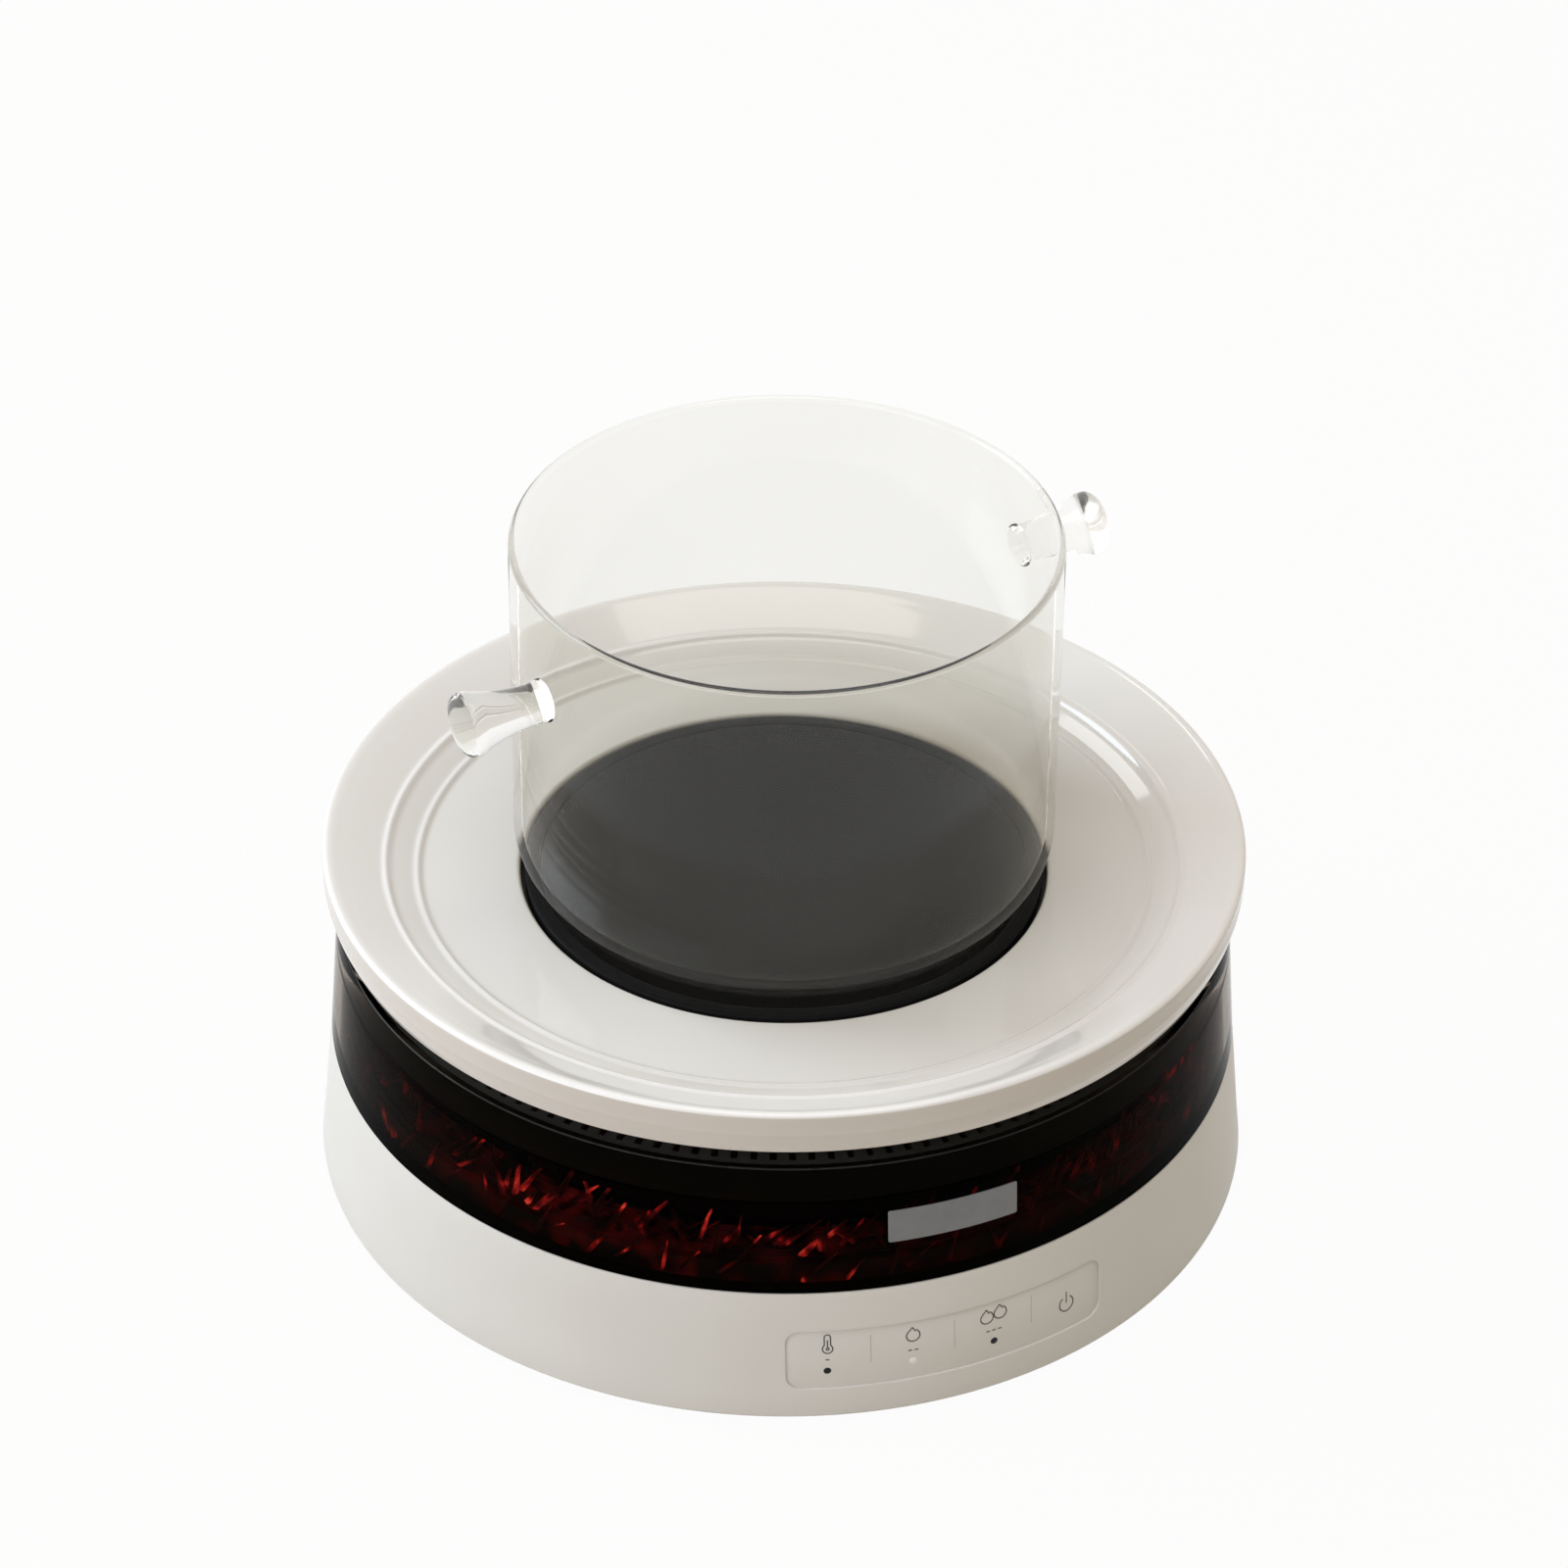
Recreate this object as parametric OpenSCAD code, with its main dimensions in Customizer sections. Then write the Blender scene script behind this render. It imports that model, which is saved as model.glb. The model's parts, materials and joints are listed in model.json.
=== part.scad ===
// Round tabletop electric cooker, in millimetres, standing on z = 0 with its control panel towards -Y.
// A clear glass pot stands on a radiant hob. A loose ring tray lies round it. The low housing below
// has a see-through band that shows a bed of glowing embers.

/* [Housing] */
// Height of the housing's lower edge above the table
foot_drop = 4; // [3:0.5:8]
// Radius of the housing at its lower edge
base_r = 161.8; // [158:0.1:174]
// Radius of the housing at its upper edge
waist_r = 157.1; // [152:0.1:164]
// Height of the housing's outer wall
housing_h = 49.5; // [46:0.1:70]
// Thickness of the housing's wall
housing_wall = 3; // [2:0.25:4]
// Rounding of the housing's lower edge
housing_edge_r = 1.6; // [0.5:0.1:1.8]
// Thickness of the shelf that closes the top of the housing
shelf_t = 3; // [2:0.25:5]
// Number of screw posts inside the housing
post_count = 6; // [4:2:8]
// Radius of a screw post
post_r = 5; // [4:0.5:6]

/* [Base] */
// Height of the base plate above the housing's lower edge
plate_inset = 2; // [1:0.5:4]
// Thickness of the base plate
plate_t = 3; // [2:0.5:5]
// Radius of a rubber foot
foot_r = 10; // [7:0.5:14]
// Distance of each foot from the middle
foot_ring_r = 130; // [110:1:135]

/* [Control panel] */
// Width of the control fascia across the front
panel_w = 113; // [100:0.5:120]
// Height of the control fascia
panel_h = 23; // [20:0.2:28]
// Height of the fascia's middle above the housing's lower edge
panel_rise = 23; // [22:0.2:26]
// Corner radius of the fascia
panel_corner_r = 5; // [2:0.5:8]
// Depth of the fascia's face below the housing's surface
panel_recess = 0.8; // [0.4:0.1:1.5]
// Thickness of the fascia
fascia_t = 2; // [1.5:0.25:3]
// Width of the ledge that the fascia is glued to
panel_ledge = 3; // [2:0.25:4]
// Angle from one touch key to the next, in degrees
key_step_angle = 10.46; // [8:0.01:11.5]
// Radius of an indicator lens
lens_r = 1.6; // [1:0.1:2.2]
// Drop of the indicator lenses below the fascia's middle
lens_drop = 5; // [3:0.2:7]

/* [Band and embers] */
// Height of the see-through band
band_h = 49.5; // [44:0.5:70]
// Radius of the band at its upper edge
band_top_r = 153.6; // [150:0.1:162]
// Thickness of the band's wall
band_wall = 3; // [2:0.25:4]
// Width of the blank nameplate
nameplate_w = 45.6; // [30:0.2:60]
// Height of the blank nameplate
nameplate_h = 12.4; // [8:0.2:18]
// Height of the nameplate's middle above the band's lower edge
nameplate_rise = 24.5; // [20:0.5:30]
// Number of ember lumps in the bed
ember_count = 54; // [24:1:72]
// Height of the ember bed above the shelf, without its lumps
ember_bed_h = 8; // [6:0.5:12]
// Typical size of an ember lump
ember_size = 11; // [8:0.5:14]
// Number of lamps below the embers
lamp_count = 36; // [12:1:60]

/* [Deck] */
// Depth of the deck's vent ledge below the band's upper edge
deck_drop = 0.8; // [0.4:0.1:4]
// Height of the platform that carries the hob above the vent ledge
deck_rise = 8.4; // [6:0.2:14]
// Thickness of the deck
deck_t = 3; // [2:0.25:4]
// Height of the dark skirt that hangs from the vent ledge inside the band
skirt_h = 15; // [10:0.5:20]
// Number of air slots round the vent ledge
slot_count = 144; // [60:12:180]
// Width of an air slot
slot_w = 2.4; // [1.5:0.1:3]
// Length of an air slot
slot_l = 7; // [4:0.5:8]
// Height of the soft pads that carry the tray
pad_h = 1; // [0.5:0.25:2]
// Radius of the inner drum
drum_r = 119.5; // [114:0.5:120]

/* [Hob] */
// Outer radius of the hob's trim ring
hob_r = 89; // [86:0.1:96]
// Width of the trim ring
hob_ring_w = 5.3; // [4:0.1:7]
// Height of the trim ring above the deck
hob_ring_h = 5; // [4.8:0.1:6]
// Thickness of the hob glass
hob_glass_t = 4; // [3:0.1:4.1]
// Thickness of the gasket under the hob glass
gasket_t = 0.6; // [0.4:0.1:0.6]
// Depth of the heater pan below the deck's surface
pan_depth = 20; // [18:0.5:24]
// Thickness of the insulation below the heating ribbon
insulation_t = 6; // [4:0.5:7]
// Height of the heating ribbon
ribbon_h = 4.5; // [3:0.25:5]
// Distance from one turn of the heating ribbon to the next
ribbon_pitch = 6; // [5:0.5:9]
// Free height of the heater's springs
spring_h = 7; // [6:0.5:10]

/* [Tray] */
// Overhang of the tray's lip past the band's upper edge
tray_overhang = 4.4; // [0:0.1:8]
// Height of the ring tray
tray_h = 16.4; // [14:0.2:20]
// Thickness of the tray's wall
tray_t = 3.4; // [3:0.1:4]
// Width of the tray's flange, from its slope to its lip
flange_w = 21.7; // [18:0.1:26]
// Width of the slope between the floor and the flange
slope_w = 10.8; // [8:0.1:14]
// Height of the slope
slope_h = 3.7; // [2:0.1:8]
// Height of the turned-down lip
lip_h = 17.2; // [12:0.2:18]
// Gap between the tray's hole and the hob
tray_gap = 1.3; // [0.8:0.1:2]

/* [Pot] */
// Outer radius of the glass pot
pot_r = 92.4; // [80:0.1:96]
// Height of the glass pot
pot_h = 131.8; // [100:0.2:160]
// Thickness of the pot's wall
pot_wall = 3; // [2.5:0.25:4]
// Radius of the pot's rounded lower corner
pot_corner_r = 22; // [14:0.5:28]
// Depth of the handles' axis below the rim
handle_drop = 33; // [20:1:50]
// Length of a handle from the pot's wall
handle_l = 31; // [22:0.5:40]
// Radius of a handle's stem
handle_stem_r = 7.3; // [5:0.1:9]
// Radius of a handle's end
handle_end_r = 11; // [9.5:0.1:14]
// Angle of the handles round the pot, in degrees
handle_angle = 10; // [0:0.5:45]

/* [Fan] */
// Side of the square fan frame
fan_w = 80; // [70:1:90]
// Height of the fan frame
fan_h = 20; // [18:0.5:25]
// Radius of the fan's hub
fan_hub_r = 18; // [16:0.5:20]
// Number of fan blades
blade_count = 7; // [5:1:11]
// Radius of the fan's shaft
fan_shaft_r = 1.5; // [1:0.1:2]

/* [Electronics] */
// Length of the power board
board_l = 110; // [100:1:116]
// Width of the power board
board_w = 88; // [84:1:96]
// Thickness of the circuit boards
board_t = 1.6; // [1:0.1:2]
// Height of the posts that carry the power board
standoff_h = 8; // [5:0.5:12]
// Width of the mains inlet's flange
inlet_w = 50; // [48:0.5:52]
// Height of the mains inlet's flange
inlet_h = 25; // [24:0.5:28]

/* [Fits] */
// Gap between fixed pieces that fit into each other
fit_gap = 0.1; // [0.05:0.05:0.2]
// Gap between a loose piece and what it stands on
seat_gap = 0.3; // [0.2:0.05:0.4]
// Running gap between the fan's shaft and its bearing
run_gap = 0.05; // [0.02:0.01:0.08]
// Radius of a screw's shank
screw_r = 1.4; // [1.2:0.1:1.6]

/* [Hidden] */
$fn = 96;

// Extra depth of a cut past the surface that it opens
over = 1;
// Depth by which a boss, rib or blade is sunk into the wall that it is one piece with
root = 0.5;

// Heights from the table upwards
z_edge = foot_drop;
z_plate = z_edge + plate_inset;
z_floor = z_plate + plate_t;
z_waist = z_edge + housing_h;
z_shelf = z_waist - shelf_t;
z_band = z_waist + band_h;
z_ledge = z_band - deck_drop;
z_skirt = z_ledge - skirt_h;
z_deck = z_ledge + deck_rise;
z_under = z_deck - deck_t;
z_glass = z_deck + gasket_t;
z_hob = z_glass + hob_glass_t;
z_tray = z_deck + pad_h + seat_gap;
z_pot = z_hob + seat_gap;
z_rim = z_pot + pot_h;

// Radii of the tray's lip, the foot of its flange and the end of its floor
tray_r = band_top_r + tray_overhang;
flange_r = tray_r - flange_w;
well_r = flange_r - slope_w;

// Outer radius of the housing or the band at height z
function shell_r(z) = z < z_waist
    ? base_r + (waist_r - base_r) * (z - z_edge) / housing_h
    : waist_r + (band_top_r - waist_r) * (z - z_waist) / band_h;

// Largest radius of the housing's wall, and of the band's
shell_max_r = max(base_r, waist_r);
band_max_r = max(waist_r, band_top_r);

// Points of an arc round [x, y] from angle a to angle b, both ends included
function arc(x, y, r, a, b, steps = 8) =
    [for (i = [0:steps]) let (t = a + (b - a) * i / steps) [x + r * cos(t), y + r * sin(t)]];

// Unit vector along v
function unit(v) = v / norm(v);

// Point at share t of a smooth curve that leaves p towards q and comes into s from r
function bend(p, q, r, s, t) =
    pow(1 - t, 3) * p + 3 * pow(1 - t, 2) * t * q + 3 * (1 - t) * t * t * r + pow(t, 3) * s;

// Round rectangle, w wide and h high, centred
module round_rect(w, h, r) {
    square([w - 2 * r, h], center = true);
    square([w, h - 2 * r], center = true);
    for (x = [-1, 1], y = [-1, 1]) {
        translate([x * (w / 2 - r), y * (h / 2 - r)]) circle(r);
    }
}

// Copies of the children at count places on a circle of radius r, the first at angle start
module ring_of(count, r, start = 0) {
    for (i = [0:count - 1]) {
        rotate([0, 0, start + i * 360 / count]) translate([r, 0, 0]) children();
    }
}

// Flat ring from height z, t thick
module flat_ring(r_out, r_in, z, t) {
    translate([0, 0, z]) difference() {
        cylinder(r = r_out, h = t);
        translate([0, 0, -over]) cylinder(r = r_in, h = t + 2 * over);
    }
}

// Layer of the flared shell between two depths below its surface, from height z1 to z2
module shell_layer(z1, z2, depth_out, depth_in) {
    rotate_extrude() polygon([
        [shell_r(z1) - depth_in, z1], [shell_r(z1) - depth_out, z1],
        [shell_r(z2) - depth_out, z2], [shell_r(z2) - depth_in, z2]
    ]);
}

// Screw with its head's underside at the origin and its shank along +Z, with a cross recess
screw_head_r = 2.8;
screw_head_h = 1.8;
module screw(length) {
    cross_l = 3;
    cross_w = 0.7;
    cross_depth = 0.9;
    difference() {
        translate([0, 0, -screw_head_h]) cylinder(r = screw_head_r, h = screw_head_h);
        for (a = [0, 90]) {
            rotate([0, 0, a]) translate([-cross_l / 2, -cross_w / 2, -screw_head_h - over])
                cube([cross_l, cross_w, over + cross_depth]);
        }
    }
    cylinder(r = screw_r, h = length);
}

// Hole for a screw's shank, along +Z from just below the origin
module screw_hole(length) {
    translate([0, 0, -over]) cylinder(r = screw_r + fit_gap, h = length + over);
}

// Tube of radius r along a list of points, with flat ends
module tube(points, r, sides = 6) {
    last = len(points) - 1;
    rings = [for (i = [0:last])
        let (along = unit(points[min(i + 1, last)] - points[max(i - 1, 0)]))
        let (guide = abs(along[2]) > 0.9 ? [1, 0, 0] : [0, 0, 1])
        let (across = unit(cross(along, guide)), up = cross(across, along))
        for (k = [0:sides - 1])
            points[i] + r * (cos(360 * k / sides) * across + sin(360 * k / sides) * up)];
    sides_faces = [for (i = [0:last - 1], k = [0:sides - 1])
        let (a = i * sides + k, b = i * sides + (k + 1) % sides)
        each [[a, b, b + sides], [a, b + sides, a + sides]]];
    start_face = [for (k = [sides - 1:-1:0]) k];
    end_face = [for (k = [0:sides - 1]) last * sides + k];
    polyhedron(rings, concat(sides_faces, [start_face, end_face]));
}

// Insulated lead that leaves p along q - p and arrives at s along s - r
lead_r = 1.5;
lead_steps = 16;
module lead(p, q, r, s) {
    straight_start = p + lead_r * unit(q - p);
    straight_end = s - lead_r * unit(s - r);
    middle = [for (i = [1:lead_steps - 1]) bend(p, q, r, s, i / lead_steps)];
    tube(concat([p, straight_start], middle, [straight_end, s]), lead_r);
}

// Screw posts of the housing
post_clear = 1.5;
post_ring_r = min(shell_r(z_floor), shell_r(z_waist)) - housing_wall - 2 * post_r - post_clear;
post_screw_l = 14;
// Deck bosses, between the drum and the lamp board
boss_r = 4.5;
boss_gap = 2;
boss_ring_r = drum_r + boss_r + boss_gap;
boss_screw_l = 12;
boss_start = 30;
shelf_lap = 3;
shelf_in_r = drum_r - shelf_lap;

// Control panel
z_panel = z_edge + panel_rise;
z_lens = z_panel - lens_drop;
panel_frame_t = 3;
panel_frame_depth = panel_recess + fascia_t + panel_frame_t;
panel_frame_rim = 4;
fascia_depth = panel_recess + fascia_t;
panel_reach = 45;
opening_w = panel_w - 2 * panel_ledge;
opening_h = panel_h - 2 * panel_ledge;
fascia_edge_y = sqrt(pow(shell_r(z_panel) - fascia_depth, 2) - pow(panel_w / 2, 2));
touch_gap = 4;
touch_board_y = fascia_edge_y - touch_gap;
touch_margin = 1;
touch_board_w = opening_w - 2 * touch_margin;
touch_board_h = opening_h - touch_margin;
panel_post_margin = 4;
panel_post_x = touch_board_w / 2 - panel_post_margin;
panel_post_r = 2.6;
panel_post_depth = 3.5;
touch_spring_r = 3;

// Prism of the panel's outline, grown by extra, through the housing's front wall
module panel_prism(w, h, extra) {
    translate([0, panel_reach - shell_r(z_panel), z_panel]) rotate([90, 0, 0])
        linear_extrude(2 * panel_reach)
            round_rect(w + 2 * extra, h + 2 * extra, panel_corner_r + extra);
}

// Mains inlet in the housing's rear wall
z_inlet = z_panel;
inlet_flange_t = 2.5;
inlet_sink = 0.5;
inlet_wall_r = min(shell_r(z_inlet - inlet_h / 2), shell_r(z_inlet + inlet_h / 2));
inlet_seat_y = sqrt(pow(inlet_wall_r, 2) - pow(inlet_w / 2, 2)) - inlet_flange_t - inlet_sink;
inlet_body_w = 27.6;
inlet_body_h = 20;
inlet_body_l = 22;
inlet_block_l = 7;
inlet_block_rim = 4;
inlet_screw_x = 20;
inlet_screw_l = 8;
socket_w = 24.4;
socket_h = 16.8;
socket_chamfer = 4;
socket_depth = 17;
inlet_face_y = inlet_seat_y + inlet_flange_t;
socket_back_y = inlet_face_y - socket_depth;

// Block across the rear wall at the inlet, from depth y1 to y2
module inlet_box(w, h, y1, y2) {
    translate([-w / 2, y1, z_inlet - h / 2]) cube([w, y2 - y1, h]);
}

// Lower edge of the housing is rounded, and its wall and shelf are one moulding
module housing_wall_profile() {
    e = housing_edge_r;
    polygon(concat(
        [[base_r - housing_wall, z_edge]],
        arc(base_r - e, z_edge + e, e, -90, 0),
        [
            [waist_r, z_waist], [shelf_in_r, z_waist], [shelf_in_r, z_shelf],
            [shell_r(z_shelf) - housing_wall, z_shelf]
        ]
    ));
}

module lower_housing() {
    color("white") difference() {
        union() {
            rotate_extrude() housing_wall_profile();
            ring_of(post_count, post_ring_r)
                translate([0, 0, z_floor]) cylinder(r = post_r, h = z_shelf + root - z_floor);
            intersection() {
                shell_layer(z_floor + fit_gap, z_shelf, housing_wall - root, panel_frame_depth);
                panel_prism(panel_w, panel_h, panel_frame_rim);
            }
            intersection() {
                inlet_box(inlet_w + 2 * inlet_block_rim, inlet_h + 2 * inlet_block_rim,
                    inlet_seat_y - inlet_block_l, shell_max_r);
                shell_layer(z_floor + fit_gap, z_shelf, root, base_r / 2);
            }
        }
        intersection() {
            shell_layer(z_floor, z_shelf, -over, fascia_depth + fit_gap);
            panel_prism(panel_w, panel_h, fit_gap);
        }
        panel_prism(opening_w, opening_h, 0);
        inlet_box(inlet_w + 2 * fit_gap, inlet_h + 2 * fit_gap, inlet_seat_y, shell_max_r + over);
        inlet_box(inlet_body_w + 2 * fit_gap, inlet_body_h + 2 * fit_gap,
            inlet_seat_y - inlet_block_l - over, inlet_seat_y + over);
        for (x = [-1, 1]) {
            translate([x * inlet_screw_x, inlet_seat_y, z_inlet]) rotate([90, 0, 0])
                screw_hole(inlet_block_l + over);
        }
        ring_of(post_count, post_ring_r) translate([0, 0, z_floor]) screw_hole(post_screw_l);
        ring_of(post_count, boss_ring_r, boss_start)
            translate([0, 0, z_shelf]) screw_hole(shelf_t + over);
    }
}

// Cooling fan on the base plate
fan_x = 62;
fan_y = 48;
fan_rim = 2.5;
fan_bore_r = fan_w / 2 - fan_rim;
fan_hole_r = 2.2;
fan_hole_margin = 4.5;
fan_hole_x = fan_w / 2 - fan_hole_margin;
strut_t = 2;
strut_w = 5;
bearing_wall = 2.2;
bearing_r = fan_shaft_r + run_gap;
tip_gap = 1;
blade_tip_r = fan_bore_r - tip_gap;
hub_wall = 1.8;
hub_gap = 1.2;
z_hub = z_floor + strut_t + hub_gap;
hub_sink = 2;
z_hub_top = z_floor + fan_h - hub_sink;
hub_roof = 2;
z_bearing_top = z_hub_top - hub_roof - hub_gap;
stator_gap = 1.5;
stator_r = fan_hub_r - hub_wall - stator_gap;

// Air slots of the base plate, in a fan-sized ring
module intake() {
    count = 24;
    slot_width = 3;
    inner_r = fan_hub_r - 4;
    outer_r = fan_bore_r - 2;
    translate([fan_x, fan_y, z_plate - over]) ring_of(count, inner_r)
        translate([0, -slot_width / 2, 0]) cube([outer_r - inner_r, slot_width, plate_t + 2 * over]);
}

// Places of the four screws at the fan frame's corners
module fan_corners() {
    for (x = [-1, 1], y = [-1, 1]) {
        translate([fan_x + x * fan_hole_x, fan_y + y * fan_hole_x, 0]) children();
    }
}

// Power board on the base plate, away from the fan
board_x = -44;
board_y = -38;
board_margin = 5;
standoff_r = 3.5;
z_board = z_floor + standoff_h;
z_parts = z_board + board_t;
board_screw_l = 6;

// Places of the four screws at the power board's corners
module board_corners() {
    for (x = [-1, 1], y = [-1, 1]) {
        translate([
            board_x + x * (board_l / 2 - board_margin),
            board_y + y * (board_w / 2 - board_margin), 0
        ]) children();
    }
}

module base_plate() {
    plate_r = shell_r(z_floor) - housing_wall - 2 * fit_gap;
    fan_screw_l = plate_t - 0.5;
    color("gainsboro") difference() {
        union() {
            translate([0, 0, z_plate]) cylinder(r = plate_r, h = plate_t);
            board_corners()
                translate([0, 0, z_floor - root]) cylinder(r = standoff_r, h = standoff_h + root);
        }
        intake();
        ring_of(post_count, post_ring_r) translate([0, 0, z_plate]) screw_hole(plate_t + over);
        board_corners() translate([0, 0, z_board + over]) mirror([0, 0, 1])
            screw_hole(board_screw_l + over);
        fan_corners() translate([0, 0, z_floor]) mirror([0, 0, 1]) screw_hole(fan_screw_l);
    }
}

module feet() {
    foot_taper = 1.5;
    color("dimgray") ring_of(4, foot_ring_r, 45)
        cylinder(r1 = foot_r - foot_taper, r2 = foot_r, h = z_plate);
}

module base_screws() {
    color("silver") ring_of(post_count, post_ring_r)
        translate([0, 0, z_plate]) screw(plate_t + post_screw_l - over);
}

// Angle of touch key i, counted from the panel's middle
function key_angle(i) = (i - 1.5) * key_step_angle;

// Cylinder along -Y from the touch board out to the front, at key i and height z
module key_rod(i, z, r) {
    translate([shell_r(z) * sin(key_angle(i)), -touch_board_y, z]) rotate([90, 0, 0])
        cylinder(r = r, h = panel_reach);
}

module control_fascia() {
    color("white") difference() {
        union() {
            intersection() {
                shell_layer(z_floor, z_shelf, panel_recess, fascia_depth);
                panel_prism(panel_w, panel_h, 0);
            }
            intersection() {
                shell_layer(z_floor, z_shelf, fascia_depth - root, shell_r(z_panel) / 2);
                for (x = [-1, 1]) {
                    translate([x * panel_post_x, -touch_board_y, z_panel]) rotate([90, 0, 0])
                        cylinder(r = panel_post_r, h = panel_reach);
                }
            }
        }
        for (i = [0:2]) {
            key_rod(i, z_lens, lens_r + fit_gap);
        }
        for (x = [-1, 1]) {
            translate([x * panel_post_x, -touch_board_y, z_panel]) rotate([90, 0, 0])
                screw_hole(panel_post_depth);
        }
    }
}

module indicator_lenses() {
    color("gray") intersection() {
        shell_layer(z_floor, z_shelf, panel_recess, base_r / 2);
        for (i = [0:2]) {
            key_rod(i, z_lens, lens_r);
        }
    }
}

module touch_board() {
    color("seagreen") difference() {
        translate([-touch_board_w / 2, -touch_board_y, z_panel - touch_board_h / 2])
            cube([touch_board_w, board_t, touch_board_h]);
        for (x = [-1, 1]) {
            translate([x * panel_post_x, board_t - touch_board_y, z_panel]) rotate([90, 0, 0])
                screw_hole(board_t + over);
        }
    }
}

module panel_screws() {
    color("silver") for (x = [-1, 1]) {
        translate([x * panel_post_x, board_t - touch_board_y, z_panel]) rotate([90, 0, 0])
            screw(board_t + panel_post_depth - 0.5);
    }
}

// Contact springs between the touch board and the back of each key, as plain conductive posts
module touch_springs() {
    edge_margin = 0.5;
    z_spring = z_panel + touch_board_h / 2 - touch_spring_r - edge_margin;
    color("silver") intersection() {
        shell_layer(z_floor, z_shelf, fascia_depth + seat_gap, base_r / 2);
        for (i = [0:3]) {
            key_rod(i, z_spring, touch_spring_r);
        }
    }
}

// Inner rib of the band, which carries the deck's skirt
rib_h = 2.5;
rib_w = 3;
deck_r = min(shell_r(z_skirt), band_top_r) - band_wall - 2 * fit_gap;
skirt_t = 2.4;

module smoked_band() {
    rib_r = deck_r - rib_w;
    z_rib = z_skirt - rib_h;
    color([0.12, 0.1, 0.09, 0.6]) rotate_extrude() polygon([
        [waist_r - band_wall, z_waist], [waist_r, z_waist],
        [band_top_r, z_band], [band_top_r - band_wall, z_band],
        [shell_r(z_skirt) - band_wall, z_skirt], [rib_r, z_skirt],
        [rib_r, z_rib], [shell_r(z_rib) - band_wall, z_rib]
    ]);
}

module nameplate() {
    plate_proud = 0.5;
    film_gap = 0.04;
    z_name = z_waist + nameplate_rise;
    color("darkgray") intersection() {
        shell_layer(z_waist, z_band, -plate_proud, -film_gap);
        translate([-nameplate_w / 2, -band_max_r - over, z_name - nameplate_h / 2])
            cube([nameplate_w, band_max_r, nameplate_h]);
    }
}

// Ember bed: a channel over the lamps, with rough lumps on its roof
bed_gap = 0.4;
bed_wall = 1.5;
bed_out_r = min(shell_r(z_waist), shell_r(z_skirt)) - band_wall - bed_gap;
bed_clear = 1;
bed_in_r = boss_ring_r + boss_r + bed_clear;
bed_roof = 2;
lump_shape = [0.8, 0.55, 1.4];

module ember_bed() {
    z_roof = z_waist + ember_bed_h;
    lane_r = (bed_in_r + bed_out_r) / 2;
    lane_w = bed_out_r - bed_in_r;
    spread = (lane_w - ember_size * 1.5) / 2;
    tilts = rands(-38, 38, ember_count * 3, 11);
    offsets = rands(-1, 1, ember_count, 5);
    sizes = rands(0.75, 1.15, ember_count, 3);
    color("firebrick") union() {
        rotate_extrude() polygon([
            [bed_in_r, z_waist], [bed_in_r + bed_wall, z_waist],
            [bed_in_r + bed_wall, z_roof - bed_roof], [bed_out_r - bed_wall, z_roof - bed_roof],
            [bed_out_r - bed_wall, z_waist], [bed_out_r, z_waist],
            [bed_out_r, z_roof], [bed_in_r, z_roof]
        ]);
        intersection() {
            flat_ring(bed_out_r, bed_in_r, z_roof - root, 2 * ember_size);
            for (i = [0:ember_count - 1]) {
                lump = ember_size * sizes[i];
                rotate([0, 0, (i + 0.3 * offsets[i]) * 360 / ember_count])
                    translate([lane_r + spread * offsets[ember_count - 1 - i], 0, z_roof + lump * 0.3])
                    rotate([tilts[i], tilts[ember_count + i], tilts[2 * ember_count + i]])
                    cube(lump * lump_shape, center = true);
            }
        }
    }
}

// Lamp strip and lamps inside the ember bed's channel
lamp_strip_w = 7;
lamp_w = 3.5;
lamp_h = 1.8;
lamp_ring_r = (bed_in_r + bed_out_r) / 2;

module lamp_board() {
    color("seagreen") flat_ring(lamp_ring_r + lamp_strip_w / 2, lamp_ring_r - lamp_strip_w / 2, z_waist, board_t);
}

module lamps() {
    color("orange") ring_of(lamp_count, lamp_ring_r)
        translate([-lamp_w / 2, -lamp_w / 2, z_waist + board_t]) cube([lamp_w, lamp_w, lamp_h]);
}

module inner_drum() {
    drum_t = 1;
    vent_count = 24;
    vent_r = 4;
    z_vent = z_under - 2 * vent_r;
    color("dimgray") difference() {
        flat_ring(drum_r, drum_r - drum_t, z_waist, z_under - z_waist);
        ring_of(vent_count, drum_r - 2 * over) translate([0, 0, z_vent]) rotate([0, 90, 0])
            cylinder(r = vent_r, h = 4 * over);
    }
}

// Deck hole and heater radii follow the hob
glass_r = hob_r - hob_ring_w - fit_gap;
gasket_w = 5;
hob_hole_r = glass_r - gasket_w;
pan_gap = 1.5;
pan_r = hob_hole_r - pan_gap;
bridge_gap = 12;
bridge_y = pan_r + bridge_gap;
bridge_t = 1.5;
bridge_foot_l = 14;
bridge_w = 24;
bridge_hole_margin = 5;
bridge_screw_short = 0.6;
bridge_screw_l = deck_t + bridge_t - bridge_screw_short;

// Places of the heater bridge's screws
module bridge_places() {
    for (x = [-1, 1], y = [-1, 1]) {
        translate([x * (bridge_w / 2 - bridge_hole_margin), y * (bridge_y + bridge_foot_l / 2), 0]) children();
    }
}

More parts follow.
